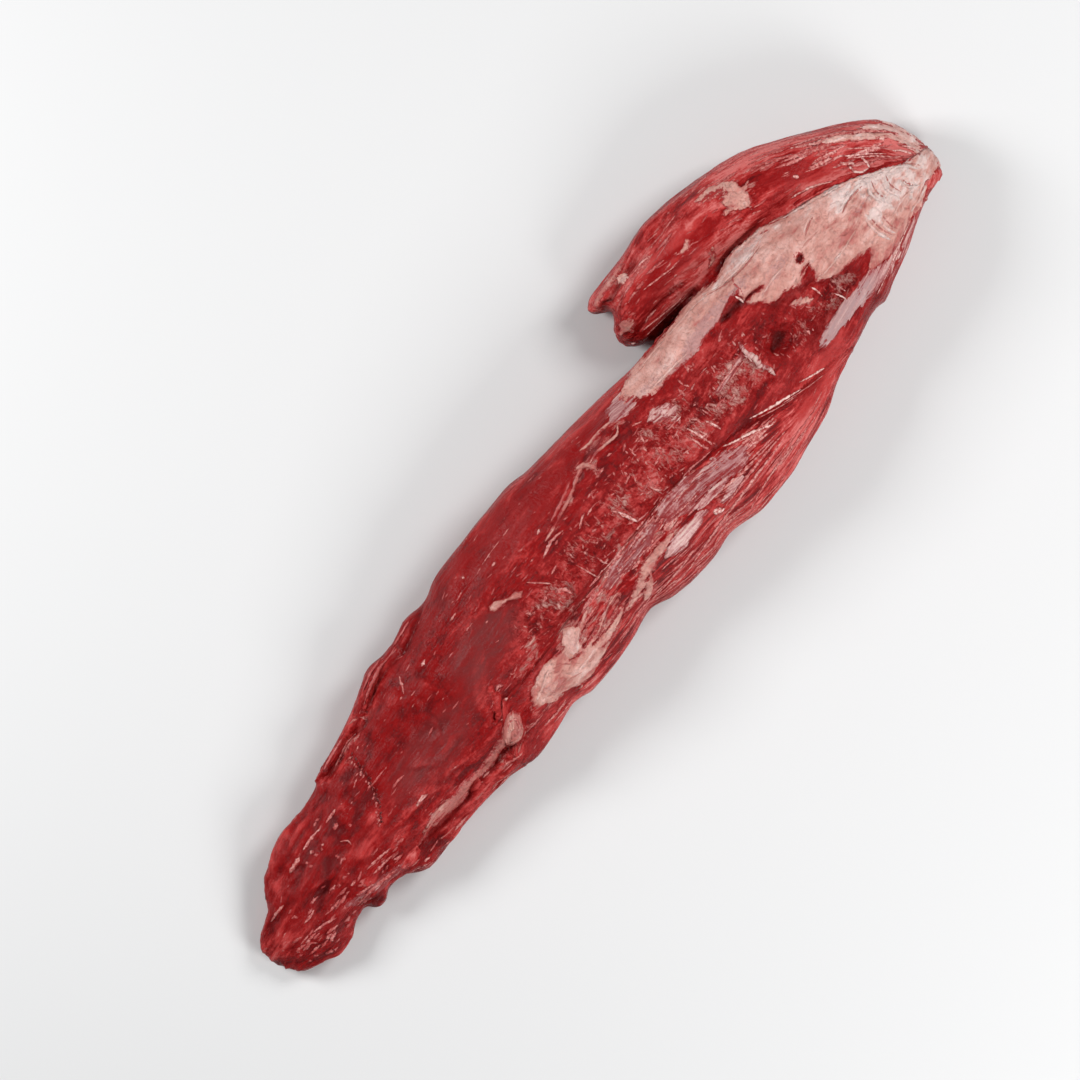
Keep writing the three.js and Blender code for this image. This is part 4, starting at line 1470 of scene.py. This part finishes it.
        Sheet("tip_red_end", Cover.MEAT, [(254, -34.4), (259, -33), (264, -33.6), (267.4, -34.4), (266, -37),
            (261, -37.8), (256, -37.4)], thickness=1.0, ragged=0.4, fall=1.4, cream=1.0),
        Sheet("head_silverskin", Cover.SILVERSKIN, [(154, -42.4), (163, -38.4), (180, -38), (200, -38.4),
            (207, -39.4), (218, -42), (228, -41), (240, -38.8), (236, -41.4), (220, -46), (205, -47.6), (195, -47),
            (185, -46.6), (170, -46), (158, -45)], thickness=0.35, ragged=1.3, cream=0.15, crumple=0.16,
            creams=(Spot(215, -43, 18, 4, 0.5), Spot(169, -42, 6, 2, 0.5), Spot(182, -41, 5, 1.6, 0.4)),
            dulls=(Spot(178, -42, 26, 5, 1.4),)),
        Sheet("chain_silverskin", Cover.SILVERSKIN, [(33, -34), (36, -27), (45, -27.5), (60, -30), (75, -35),
            (88, -41.4), (93, -47), (80, -49), (60, -46.5), (45, -42)], thickness=0.5, ragged=1.4, cream=-0.05,
            crumple=0.15, dulls=(Spot(66, -38, 22, 6, 0.45, -16),), slits=(([(44, -31), (60, -34.5),
            (74, -39)], 0.25), ([(52, -41), (66, -43.5), (80, -46.6)], 0.3), ([(37, -36), (50, -38.6),
            (62, -41)], 0.2), ([(58, -31.6), (70, -35.6), (84, -42)], 0.2)), creams=(Spot(82, -45, 9, 3, -0.5),)),
        Sheet("chain_silver_streaks", Cover.SILVERSKIN, [(-14, -30), (-4, -27), (14, -27), (30, -29), (33, -33),
            (20, -36.5), (0, -36), (-12, -34)], thickness=0.4, ragged=1.4, cream=-0.15, crumple=0.15,
            slits=(([(-8, -32.4), (6, -31.6), (22, -32.4)], 0.3), ([(0, -29.4), (12, -29), (24, -30)], 0.2))),
        Sheet("chain_cream_lens", Cover.SILVERSKIN, [(20, -46), (28, -43), (38, -43), (48, -45.5), (52, -48),
            (44, -51), (32, -52), (24, -50)], thickness=0.6, ragged=0.8, cream=0.45, crumple=0.2,
            creams=(Spot(36, -47.4, 12, 3, 0.5, -4),)),
        Sheet("chain_pale_patch", Cover.SILVERSKIN, [(59, -50.5), (68, -49.5), (79, -50.5), (78, -53), (66, -54),
            (60, -53)], thickness=0.4, ragged=0.6, cream=0.5, crumple=0.1),
        Sheet("strip_film", Cover.SILVERSKIN, [(57, 20), (62, 16), (72, 14.5), (77, 18), (76, 24), (68, 25.5),
            (60, 24.5)], thickness=0.3, ragged=1.1, cream=0.15, crumple=0.08, dulls=(Spot(67, 20, 12, 6, 0.5),)),
    )

    def build(self, meat: bpy.types.Object) -> list[bpy.types.Object]:
        """Makes every sheet.

        Args:
            meat: the piece that they lie on.

        Returns:
            The finished pieces.
        """
        finishes = {
            Cover.FAT: FatSheet().material(),
            Cover.SILVERSKIN: Silverskin().material(),
            Cover.MEAT: meat.data.materials[0],
        }
        return [sheet.build(meat, finishes[sheet.kind]) for sheet in self.sheets]


# Threads, loose ends and shreds


@dataclass(frozen=True)
class Thread:
    """One pale thread or raised line, along points in plan, with its half width and tint."""

    line: Points
    half: float = 0.6
    tint: float = 0.7
    height: float = 0.35


@dataclass(frozen=True)
class Scatter:
    """Many short threads strewn over soft areas, along the fibres or across them."""

    spots: tuple[Spot, ...]
    count: int
    length: tuple[float, float]
    half: tuple[float, float]
    tint: tuple[float, float]
    seed: int
    turn: float = 0.0
    spread: float = 6.0
    height: float = 0.16


class Ridges:
    """Low ridges with their edges sunk in what they lie on, gathered to be one piece."""

    def __init__(self) -> None:
        """Starts with none."""
        self.points: list[np.ndarray] = []
        self.faces: list[tuple[int, ...]] = []
        self.tints: list[float] = []
        self.middles: list[float] = []

    def lay(self, path: Path, thread: Thread, random: np.random.Generator) -> None:
        """Adds one thread as a ridge.

        Args:
            path: place and facing direction of each point along it.
            thread: its width, tint and height.
            random: the source of chance.
        """
        if len(path) < 3:
            return
        first, last = len(self.points), len(path) - 1
        for i, (place, normal) in enumerate(path):
            along = path[min(i + 1, last)][0] - path[max(i - 1, 0)][0]
            across = np.cross(normal, along)
            across /= max(float(np.linalg.norm(across)), 1e-6)
            swell = math.sin(math.pi * i / last) ** 0.6 if 0 < i < last else 0.0
            left, right = thread.half * swell * random.uniform(0.55, 1.45, 2) + 0.05
            for offset, rise in ((-left, -0.15), (-0.4 * left, 0.8), (0.4 * right, 0.8), (right, -0.15)):
                self.points.append(place + across * offset + normal * (thread.height * rise * (0.35 + 0.65 * swell)))
                self.tints.append(thread.tint)
                self.middles.append(0.0 if rise < 0.0 else 0.4 + swell)
        for i in range(last):
            a = first + 4 * i
            self.faces.extend((a + k, a + k + 4, a + k + 5, a + k + 1) for k in range(3))
            self.faces.append((a + 3, a + 7, a + 4, a))
        end = first + 4 * last
        self.faces.extend(((first, first + 1, first + 2, first + 3), (end + 3, end + 2, end + 1, end)))

    def piece(self, name: str) -> bpy.types.Object:
        """Makes the ridges a piece.

        Args:
            name: the piece's name.

        Returns:
            The piece, in the scene.
        """
        mesh = bpy.data.meshes.new(name)
        mesh.from_pydata((np.array(self.points) * MM).tolist(), [], self.faces)
        mesh.update()
        return new_object(name, mesh)


@dataclass
class Threads:
    """All threads and shreds that lie on the meat."""

    step: float = 1.1
    leap: float = 3.0
    drawn: tuple[Thread, ...] = (
        Thread([(127.6, -13), (128, -17), (127.2, -22)], 0.5, 0.6),
        Thread([(104, -14.6), (112, -13.6), (122, -14)], 0.6, 0.45),
        Thread([(112, -16.4), (120, -15.6), (128, -16)], 0.4, 0.3),
        Thread([(83, -34), (90, -38), (97, -41), (109, -48)], 0.75, 0.85, 0.5),
        Thread([(86, -36.5), (98, -43.5), (107, -48)], 0.35, 0.25),
        Thread([(103, -36), (110, -39.5), (119, -43), (132, -48)], 0.75, 0.9, 0.5),
        Thread([(106, -39.5), (118, -45), (128, -48.5)], 0.35, 0.25),
        Thread([(134, -45), (142, -48.5), (149, -51)], 0.6, 0.8, 0.4),
        Thread([(120, -45), (135, -50), (146, -53)], 0.35, 0.2), Thread([(76, -16), (77, -21), (77, -27)], 0.6, 0.5),
        Thread([(79, -13), (80.4, -19), (81, -28)], 0.7, 0.65),
        Thread([(82.5, -17), (82.8, -22), (84.4, -25)], 0.5, 0.5),
        Thread([(84, -12), (86, -15), (86, -19)], 0.5, 0.45), Thread([(88.4, -19), (89.5, -23), (90, -28)], 0.8, 0.7),
        Thread([(92, -14), (92.4, -20)], 0.4, 0.35), Thread([(23, -12), (24, -17), (25.6, -23.6)], 1.1, 0.65),
        Thread([(21.6, -9), (22.6, -13)], 0.8, 0.4), Thread([(43.6, -17), (44.6, -21), (46.6, -23.6)], 0.6, 0.5),
        Thread([(-2, -18), (-2.3, -22), (-1, -25)], 0.6, 0.6), Thread([(-12, -12), (-11, -19), (-10, -26)], 0.5, 0.5),
        Thread([(-30, -12.6), (-26, -15), (-25, -20)], 1.8, 0.35, 0.6), Thread([(-28, -10), (-27.5, -15)], 0.8, 0.3),
        Thread([(-230, 6.6), (-225, 7.2), (-220, 7.6)], 1.3, 0.4, 0.5),
        Thread([(-216, 8.4), (-209, 8.8), (-202, 8.4)], 1.0, 0.45, 0.4),
        Thread([(-198, 7.6), (-194, 8), (-189, 8.4)], 0.9, 0.3), Thread([(-215.6, 4), (-212.8, 4.2)], 1.2, 0.5),
        Thread([(-209, 2), (-207, 2.3)], 0.9, 0.5), Thread([(-256, -1.4), (-250, -1), (-245, -1.2)], 0.9, 0.3),
        Thread([(-246, -15.5), (-241, -15.8), (-237, -15.2)], 0.9, 0.2),
        Thread([(-236, -12), (-230, -12.4)], 0.8, 0.3), Thread([(-247, -22), (-240, -24), (-233, -27)], 0.8, 0.15),
        Thread([(-243, -28), (-235, -30)], 0.9, 0.15), Thread([(-245, -32), (-239, -31)], 1.4, 0.2),
        Thread([(-222, -31), (-208, -33), (-195, -36)], 1.4, 0.1), Thread([(-218, -28), (-207, -31.5)], 0.8, 0.15),
        Thread([(-204, -24), (-196, -25), (-187, -27)], 0.8, 0.3),
        Thread([(-204, -28), (-195, -29), (-186, -31)], 0.8, 0.25),
        Thread([(-201, -4), (-198, -7), (-198.6, -10)], 0.7, 0.3),
        Thread([(-162, -24.4), (-158, -23.6), (-153, -24.6)], 1.1, 0.55, 0.6),
        Thread([(-120, 17), (-117.5, 20), (-114, 25)], 0.7, 0.25), Thread([(-103, 18.6), (-99, 19.6)], 0.9, 0.5),
        Thread([(-75, 21.4), (-70, 21.8)], 0.6, 0.45), Thread([(-42, 26.4), (-34, 26.8), (-26, 27)], 0.4, 0.3),
        Thread([(-40, 21.6), (-36, 22)], 0.7, 0.35), Thread([(-54, 30), (-52.4, 30.4)], 0.8, 0.7),
        Thread([(-90, -20), (-87, -19), (-84, -21)], 0.9, 0.4, 0.6),
        Thread([(-91, -26), (-88, -26.6)], 1.0, 0.55, 0.6), Thread([(-48, -7), (-46.4, -9.6)], 1.0, 0.4, 0.5),
        Thread([(-54, -10), (-53, -12.6)], 0.9, 0.45, 0.5),
        Thread([(-20, 3.4), (-10, 5.6), (-2, 4.2)], 0.9, 0.4, 0.4), Thread([(-12, 13.4), (-9, 14.6)], 0.9, 0.5),
        Thread([(4, -2), (9, 0.4), (12, 1)], 0.6, 0.4), Thread([(-35, 2.6), (-31, -3), (-27.6, -8)], 0.5, 0.4, 0.4),
        Thread([(53.4, -51.4), (55.4, -53), (57.6, -54.2), (58.6, -53.8)], 2.3, 0.75, 1.2),
        Thread([(255, -33.6), (259, -33), (263, -34.6)], 1.2, 0.0, 0.5),
        Thread([(-3, -54), (12, -55.5), (30, -56)], 0.9, 0.4, 0.4),
        Thread([(20, -60), (50, -58), (80, -57.5), (105, -57)], 0.9, 0.4, 0.4),
        Thread([(35, -64), (48, -62), (60, -61)], 0.8, 0.3),
        Thread([(65, -66), (78, -64), (90, -63), (120, -63)], 0.9, 0.35),
        Thread([(-30, -55), (-12, -53.6), (4, -52.4)], 0.8, 0.2),
        Thread([(60, -54.6), (85, -54), (110, -55)], 0.8, 0.25),
        Thread([(177, -19), (177.5, -23), (177, -27)], 0.6, 0.85),
        Thread([(182, -31), (183, -35), (184, -39)], 0.5, 0.8), Thread([(186, -30), (186.5, -35)], 0.45, 0.7),
        Thread([(149, 9), (149.5, 6), (149, 3)], 0.7, 0.95, 0.8),
        # A thin dark line, the painted shadow of a small cut in the fat
        Thread([(152, 5.4), (153.6, 9), (153.8, 13), (156.6, 16.6)], 0.5, -0.2, 0.1),
        Thread([(239, 4.4), (238.2, 0.8), (239.6, -2.8), (242, -4.2), (244.6, -5.2)], 1.0, 0.75, 0.7),
        Thread([(244.6, -5.4), (246, -2), (246.2, 1.6)], 0.9, 0.8, 0.7),
        Thread([(236.2, 8.4), (239, 5.4), (242, 2.2)], 1.7, 0.5, 0.6),
        Thread([(239, 11.8), (245.4, 4.6), (251, -1.4), (256, -8)], 0.6, 0.6, 0.4),
        Thread([(244, 11.4), (250, 4.6), (256, -3), (260, -10)], 0.5, 0.4, 0.4),
        Thread([(207, 17.2), (213, 14.8), (219.4, 11.6), (227.4, 5.3)], 0.8, 0.55, 0.5),
        Thread([(216.4, 23.4), (217.6, 22), (218.4, 20.6)], 1.2, 0.6, 0.5),
        Thread([(259, -9), (262.6, -14), (264.6, -20)], 0.8, 0.75, 0.4),
        Thread([(263, -10), (266, -15), (268, -21)], 0.7, 0.75, 0.4),
        Thread([(241, 25), (247.4, 19.6), (254.4, 12), (260.6, 5)], 0.5, 0.5, 0.3),
        Thread([(104.7, 35.6), (112, 34), (122, 31.6), (134, 29.6)], 0.6, 0.4, 0.4),
        Thread([(104, 32.6), (116, 31), (128, 29.2), (138, 27.8)], 0.55, 0.4, 0.4),
        Thread([(122, 48.3), (127.3, 47), (135, 45), (142.7, 42.7)], 0.5, 0.5, 0.3),
        Thread([(130, 58.3), (134, 57.4), (139, 56.3)], 0.7, 0.4, 0.3),
        Thread([(112, 50.4), (117, 51), (121, 50)], 0.5, 0.3, 0.3),
        Thread([(96.4, 35.8), (97.2, 35.2), (98.2, 34.8)], 0.9, 0.9, 0.5),
        Thread([(109, 37), (114, 37.4), (119, 36.8)], 0.7, 0.35, 0.4),
        Thread([(170, 16), (171.2, 19.6), (172.8, 23)], 1.6, 0.05, 0.3),
        Thread([(182, 18.4), (184.6, 17.6), (187, 16.2)], 0.9, 0.0, 0.2),
        Thread([(-138, 29.6), (-128, 33), (-117, 35.2), (-106, 35)], 1.0, -0.1, 0.6),
        Thread([(-132, 34.6), (-122, 37.4), (-112, 37.8)], 1.1, -0.25, 0.7),
        Thread([(-104, 36.6), (-96, 37.4), (-88, 38.4)], 1.0, -0.2, 0.6),
        Thread([(-108, 31), (-104.4, 29.6), (-99, 30.4), (-90, 33)], 0.7, 0.0, 0.5),
        Thread([(-88, -50.6), (-78, -51.6), (-70, -51)], 1.0, 0.3, 0.4),
        Thread([(-84, -53.6), (-76, -54), (-68, -53.4)], 0.7, 0.2, 0.4),
        Thread([(228, 34), (240, 26), (252, 15), (262, 4), (268, -6)], 1.5, 0.3, 0.4),
        Thread([(205, 44), (218, 36), (230, 26)], 1.0, 0.1, 0.3),
        Thread([(-102, -37), (-98, -35.4), (-94.6, -37), (-97, -41), (-101, -42.6)], 0.6, 0.35, 0.5),
        # A pink line along the edge flap's lower edge, a painted highlight
        Thread([(-172, 21.8), (-165, 23.2), (-158, 24.6), (-151, 24)], 0.7, 0.1, 0.4),
        Thread([(-177, 25.6), (-168, 27), (-158, 28)], 1.0, -0.25, 0.3),
        Thread([(-163, -8.6), (-158, -8.2), (-153, -9)], 0.6, 0.0, 0.2),
        Thread([(-172, 1.2), (-165, 1), (-157, 1)], 0.5, 0.0, 0.2),
        Thread([(-2, 12), (8, 14), (20, 17)], 0.9, -0.1, 0.3),
        Thread([(195, -49), (210, -45.5), (235, -39)], 0.4, 0.8, 0.4),
    )
    strewn: tuple[Scatter, ...] = (
        Scatter((Spot(-228, -8, 46, 30, 1.0),), 50, (2.0, 6.0), (0.6, 1.3), (-0.3, 0.05), 101, 0.0, 30.0),
        Scatter((Spot(-240, -25, 30, 10, 1.0), Spot(-195, -26, 18, 7, 1.0)), 40, (4.0, 10.0), (0.5, 1.1),
            (-0.1, 0.25), 111, 0.0, 8.0),
        Scatter((Spot(-60, 8, 150, 40, 1.0),), 60, (2.0, 7.0), (0.25, 0.5), (-0.2, 0.3), 102),
        Scatter((Spot(-140, -44, 55, 9, 1.0), Spot(-30, -53, 60, 8, 1.0)), 110, (4.0, 15.0), (0.4, 0.9),
            (-0.1, 0.4), 103),
        Scatter((Spot(60, -12, 95, 19, 1.0), Spot(152, -24, 26, 18, 0.6)), 120, (1.5, 6.0), (0.3, 0.8),
            (-0.1, 0.5), 104, 84.0, 20.0),
        Scatter((Spot(50, -10, 100, 20, 1.0),), 110, (2.0, 8.0), (0.3, 0.7), (-0.1, 0.4), 105, 0.0, 16.0),
        Scatter((Spot(10, -32, 50, 8, 1.0), Spot(66, -41, 26, 8, 1.0)), 70, (8.0, 30.0), (0.5, 1.0),
            (0.0, 0.5), 106, 0.0, 3.0),
        Scatter((Spot(40, -58, 90, 10, 1.0, -4),), 64, (12.0, 60.0), (0.35, 0.9), (-0.25, 0.25), 107, 0.0, 1.5),
        Scatter((Spot(130, 58, 60, 9, 1.0), Spot(200, 52, 45, 12, 1.0, -35)), 120, (4.0, 18.0), (0.4, 0.9),
            (-0.2, 0.3), 108, 0.0, 4.0),
        Scatter((Spot(150, 44, 70, 18, 1.0, -8),), 60, (3.0, 12.0), (0.3, 0.6), (-0.2, 0.3), 112, 0.0, 6.0),
        Scatter((Spot(238, 16, 36, 14, 1.0, -42),), 60, (8.0, 36.0), (0.6, 1.3), (0.0, 0.5), 109, 0.0, 3.0),
        Scatter((Spot(0, 0, 300, 90, 1.0),), 300, (2.0, 8.0), (0.25, 0.5), (-0.3, 0.2), 110, 0.0, 8.0),
    )

    # Folds and creases of the fat, with a tint from -2.6, red, to 1.6, white; the low dark lines beside the pale folds
    # are painted shade
    folds: tuple[Thread, ...] = (
        Thread([(196, 14.2), (206, 10.4), (216, 6.6), (226, 2.2), (236, -3.6), (246, -10.2),
            (256, -17)], 1.3, 1.4, 0.5),
        Thread([(139, 22.6), (148, 18.8), (158, 16.6), (168, 15.8), (178, 16.2), (186, 18)], 0.8, 1.1, 0.6),
        Thread([(140, 20.8), (149, 17), (158, 15), (168, 14.2), (178, 14.6)], 0.6, -1.3, 0.1),
        Thread([(222.4, -20), (220.8, -28), (222, -37)], 1.1, 1.3, 0.6),
        Thread([(226.6, -27), (225.4, -32), (226.4, -37)], 0.9, 1.2, 0.5),
        Thread([(224.4, -22), (223.4, -29), (224.4, -36)], 0.5, -1.2, 0.1),
        Thread([(229.4, -26), (228, -32), (229, -37)], 0.5, -1.2, 0.1),
        Thread([(249.4, -21), (248.6, -25), (250.4, -29), (254, -31.4)], 0.9, 1.6, 0.6),
        Thread([(250.6, -22.6), (250.4, -26), (252.4, -29)], 0.5, -1.4, 0.1),
        Thread([(252, -15), (257, -19.4), (260, -25.6)], 1.1, 1.6, 0.5),
        Thread([(254.8, -16.4), (259.6, -20.6), (262, -25.6)], 0.5, -1.0, 0.1),
        Thread([(238, -9), (234.4, -15), (235, -22)], 1.2, 1.6, 0.5),
        Thread([(240, -10), (237, -16), (237.6, -22)], 0.5, -0.9, 0.1),
        Thread([(245, -13), (241.6, -19), (242.4, -27)], 1.1, 1.6, 0.5),
        Thread([(247, -14), (244.4, -19.6), (245, -26)], 0.5, -0.9, 0.1),
        Thread([(217, -8.6), (226, -7.2), (235, -8)], 0.6, -1.1, 0.1),
        Thread([(216, -6.8), (226, -5.6), (236, -6.4)], 0.9, 1.5, 0.4),
        Thread([(197, 0.8), (202, 3), (207, 3.6)], 0.7, 1.3, 0.5),
        Thread([(196, -0.8), (201, 1.2), (206.4, 2.2)], 0.5, -1.2, 0.1),
        Thread([(186, -20.6), (200, -20.8), (215, -19.6)], 0.6, 0.9, 0.3),
        Thread([(190, -3.4), (196, -3.6), (203, -4.4)], 0.6, -0.9, 0.1),
        Thread([(160, -2), (168, -1.2), (176, -1.6)], 0.5, 0.9, 0.3),
        Thread([(232, -30), (244, -29), (256, -31.6)], 0.9, 1.2, 0.4),
        Thread([(240, -36.4), (250, -35.4), (256, -33.6)], 0.9, 1.1, 0.4),
        Thread([(112, 23.4), (122, 23), (132, 22.4), (140, 20.6)], 0.8, 1.0, 0.4),
        Thread([(84, 24.6), (96, 24.4), (108, 23.6)], 0.8, 0.9, 0.4),
        Thread([(82, 13.4), (95, 12.2), (110, 10)], 0.6, 0.6, 0.3),
        Thread([(-80, -39.4), (-72, -37.4), (-64, -34.4)], 0.9, 0.9, 0.4),
        Thread([(-74, -43.4), (-64, -45), (-54, -49)], 0.6, -0.7, 0.15),
        Thread([(-58, -46.4), (-50, -47.4), (-40, -46.8)], 0.9, 1.0, 0.4),
        Thread([(-62, -36), (-57, -38.4), (-54, -42)], 0.5, -0.9, 0.15),
        Thread([(-48, -41), (-43, -37.6), (-37.4, -33.4)], 0.7, 1.2, 0.4),
        Thread([(-106, -42.6), (-102.4, -44.4), (-98, -43.8), (-94.4, -40.6)], 0.7, -0.4, 0.4),
        Thread([(-104.6, -40.6), (-101, -42.2), (-97.4, -41), (-95.4, -38)], 0.45, -2.6, 0.15),
        Thread([(-103, -38), (-99.4, -38.8), (-96.4, -36.4), (-94, -34)], 0.6, -0.3, 0.4),
        Thread([(-168, -35), (-158, -34.2), (-148, -35.4)], 0.6, -0.6, 0.3),
        Thread([(-156, -36.4), (-146, -38.4), (-138, -38.6)], 0.45, -2.2, 0.1),
    )
    scar: tuple[tuple[float, float], ...] = ((-162.6, 19), (-165, 10), (-168, 2), (-172, -6), (-180.6, -14.6))

    def build(self, meat: bpy.types.Object, sheets: list[bpy.types.Object]) -> list[bpy.types.Object]:
        """Lays every thread on the meat, and the folds on the fat.

        Args:
            meat: the piece that they lie on.
            sheets: the sheets on the meat, with the fat cover first, which drawn threads run over.

        Returns:
            The threads as one piece, and the folds as another.
        """
        top = self._tree([meat, *sheets])
        ridges = Ridges()
        random = np.random.default_rng(7)
        for thread in self.drawn:
            ridges.lay(self._drawn_path(top, thread.line), thread, random)
        for x, y in smooth_line(list(self.scar), 1.5):
            for shift, half, tint in ((-1.0, 0.55, 0.15), (0.9, 0.6, -1.2)):
                x0, y0 = x + shift + random.normal(0.0, 0.5), y + random.normal(0.0, 0.5)
                dash = Thread([(x0 - 0.9, y0 - 0.2), (x0 + 0.1, y0), (x0 + 0.9, y0 + 0.2)], half, tint, 0.3)
                ridges.lay(self._drawn_path(top, dash.line), dash, random)
        self._strew(meat, ridges)
        threads = ridges.piece("shreds_threads_and_glints")
        keep_values(threads, tint=np.array(ridges.tints), middle=np.array(ridges.middles))

        random = np.random.default_rng(8)
        ridges = Ridges()
        for fold in self.folds:
            ridges.lay(self._drawn_path(top, fold.line), fold, random)
        folds = ridges.piece("fat_folds")
        fibre = FIBRES.coordinates(np.array(ridges.points))
        keep_values(folds, fibre=fibre, cream=np.array(ridges.tints), depth=np.full(len(fibre), 4.0))
        return [dress(threads, Strand().material()), dress(folds, sheets[0].data.materials[0])]

    @staticmethod
    def _tree(pieces: list[bpy.types.Object]) -> BVHTree:
        """Makes a search tree of surfaces.

        Args:
            pieces: what has the surfaces.

        Returns:
            The tree, in millimetres.
        """
        corners: list[tuple[float, ...]] = []
        faces: list[tuple[int, ...]] = []
        for piece in pieces:
            first = len(corners)
            corners.extend(tuple(point) for point in get_points(piece))
            faces.extend(tuple(first + corner for corner in face.vertices) for face in piece.data.polygons)
        return BVHTree.FromPolygons(corners, faces)

    def _drawn_path(self, tree: BVHTree, line: Points) -> Path:
        """Drops a drawn line onto a surface along the camera's line of sight, and ends it where it would leap.

        Args:
            tree: the surface.
            line: the line.

        Returns:
            Place and facing direction of each point that meets the surface.
        """
        eye = Vector((*SIGHT_MIDDLE, CAMERA_HEIGHT))
        path = []
        for x, y in smooth_line(line, self.step):
            place, normal, _, _ = tree.ray_cast(eye, (Vector((x, y, SIGHT_HEIGHT)) - eye).normalized())
            if place is not None and (not path or math.dist(place, path[-1][0]) <= self.leap):
                path.append((np.array(place), np.array(normal)))
        return path

    def _strew(self, meat: bpy.types.Object, ridges: Ridges) -> None:
        """Adds every scatter's threads.

        Args:
            meat: the piece that they lie on.
            ridges: what they are added to.
        """
        tree = self._tree([meat])
        surface = get_points(meat)
        plan = as_seen(surface)
        bare = 1.0 - 0.85 * cover_of(Meat().membranes, plan)
        for scatter in self.strewn:
            random = np.random.default_rng(scatter.seed)
            weight = cover_of(scatter.spots, plan) * bare * ease(surface[:, 2], 2.0, 6.0)
            weight *= 0.25 + ease(layered_noise(surface, (14.0, 9.0, 9.0), scatter.seed, 2), -0.2, 0.7)
            weight *= 1.0 - np.clip(3.0 * get_value(meat, "crease"), 0.0, 1.0)
            for index in random.choice(len(surface), scatter.count, p=weight / weight.sum()):
                limits = (scatter.length, scatter.half, scatter.tint)
                length, half, tint = (random.uniform(*pair) for pair in limits)
                angle = math.radians(scatter.turn + random.normal(0.0, scatter.spread))
                path = self._run(tree, surface[index], length, angle, random)
                ridges.lay(path, Thread([], half, tint, scatter.height), random)

    def _run(
        self, tree: BVHTree, start: np.ndarray, length: float, angle: float, random: np.random.Generator
    ) -> Path:
        """Follows the surface from a place.

        Args:
            tree: the meat's surface.
            start: the first place.
            length: how far to go.
            angle: the direction, turned from the fibres', in radians.
            random: the source of chance.

        Returns:
            Place and facing direction of each point.
        """
        place = start
        seen = as_seen(start[None, :])[0]
        dx, dy = FIBRES.direction(float(seen[0]), float(seen[1]))
        c, s = math.cos(angle), math.sin(angle)
        heading = np.array([dx * c - dy * s, dx * s + dy * c, 0.0])
        path = []
        for _ in range(max(3, int(length / self.step))):
            near, normal, _, _ = tree.find_nearest(Vector(place))
            near, normal = np.array(near), np.array(normal)
            path.append((near, normal))
            along = heading - normal * float(heading @ normal)
            along /= max(float(np.linalg.norm(along)), 1e-6)
            sideways = np.cross(normal, along) * random.normal(0.0, 0.09)
            place = near + (along + sideways) * self.step
        return path


# Camera, floor and light


@dataclass
class Studio:
    """A pale floor, soft lights and a camera straight above."""

    view_width: float = 561.6
    turn: float = -52.0
    sensor: float = 36.0
    floor_side: float = 8.0
    surroundings: float = 0.18
    # Each lamp's name, place in metres, side in metres and power in watts
    lamps: tuple[tuple[str, tuple[float, float, float], float, float], ...] = (
        ("key", (1.05, -0.30, 1.05), 0.55, 12.5),
        ("left", (-0.45, 1.00, 0.80), 0.5, 13.5),
        ("right", (-0.10, -1.10, 0.70), 0.5, 9.8),
    )

    def build(self) -> None:
        """Adds the floor, the lamps, the surroundings and the camera."""
        self._floor()
        for lamp in self.lamps:
            self._lamp(*lamp)
        world = bpy.data.worlds.new("surroundings")
        world.use_nodes = True
        background = world.node_tree.nodes["Background"]
        background.inputs["Color"].default_value = (0.95, 0.97, 1.0, 1.0)
        background.inputs["Strength"].default_value = self.surroundings
        bpy.context.scene.world = world
        bpy.context.scene.view_settings.view_transform = "Standard"
        self._camera()

    def _floor(self) -> None:
        """The pale floor that the meat lies on."""
        deselect()
        bpy.ops.mesh.primitive_plane_add(size=self.floor_side, location=(0.0, 0.0, 0.0))
        floor = bpy.context.object
        floor.name = "floor"
        material, board, shader = new_material("floor")
        board.feed_all(shader, Base_Color=(0.70, 0.70, 0.70, 1.0), Roughness=0.8)
        floor.data.materials.append(material)

    @staticmethod
    def _lamp(name: str, place: tuple[float, float, float], size: float, power: float) -> None:
        """Adds one square soft lamp that faces the meat.

        Args:
            name: the lamp's name.
            place: where it stands, in metres.
            size: its side, in metres.
            power: its power in watts.
        """
        data = bpy.data.lights.new(name, "AREA")
        data.size = size
        data.energy = power
        lamp = new_object(name, data)
        lamp.location = place
        lamp.rotation_euler = (Vector((0.0, 0.0, 0.03)) - Vector(place)).to_track_quat("-Z", "Y").to_euler()

    def _camera(self) -> None:
        """Adds the camera, turned as the photograph is."""
        data = bpy.data.cameras.new("camera")
        data.sensor_width = self.sensor
        data.sensor_fit = "HORIZONTAL"
        data.lens = self.sensor * (CAMERA_HEIGHT - SIGHT_HEIGHT) / self.view_width
        camera = new_object("camera", data)
        camera.location = [size * MM for size in (*SIGHT_MIDDLE, CAMERA_HEIGHT)]
        camera.rotation_euler = (0.0, 0.0, math.radians(self.turn))
        bpy.context.scene.camera = camera


def write_sizes() -> None:
    """Updates the view layer."""
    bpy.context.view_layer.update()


def main() -> None:
    """Builds the studio, the meat and what lies on it, and says what each piece holds."""
    logging.basicConfig(level=logging.INFO, format="%(name)s: %(message)s")
    Studio().build()
    meat = Meat().build()
    sheets = Sheets().build(meat)
    for piece in (meat, *sheets, *Threads().build(meat, sheets)):
        log.info("%s has %d points", piece.name, len(piece.data.vertices))
    write_sizes()


if __name__ == "__main__":
    main()
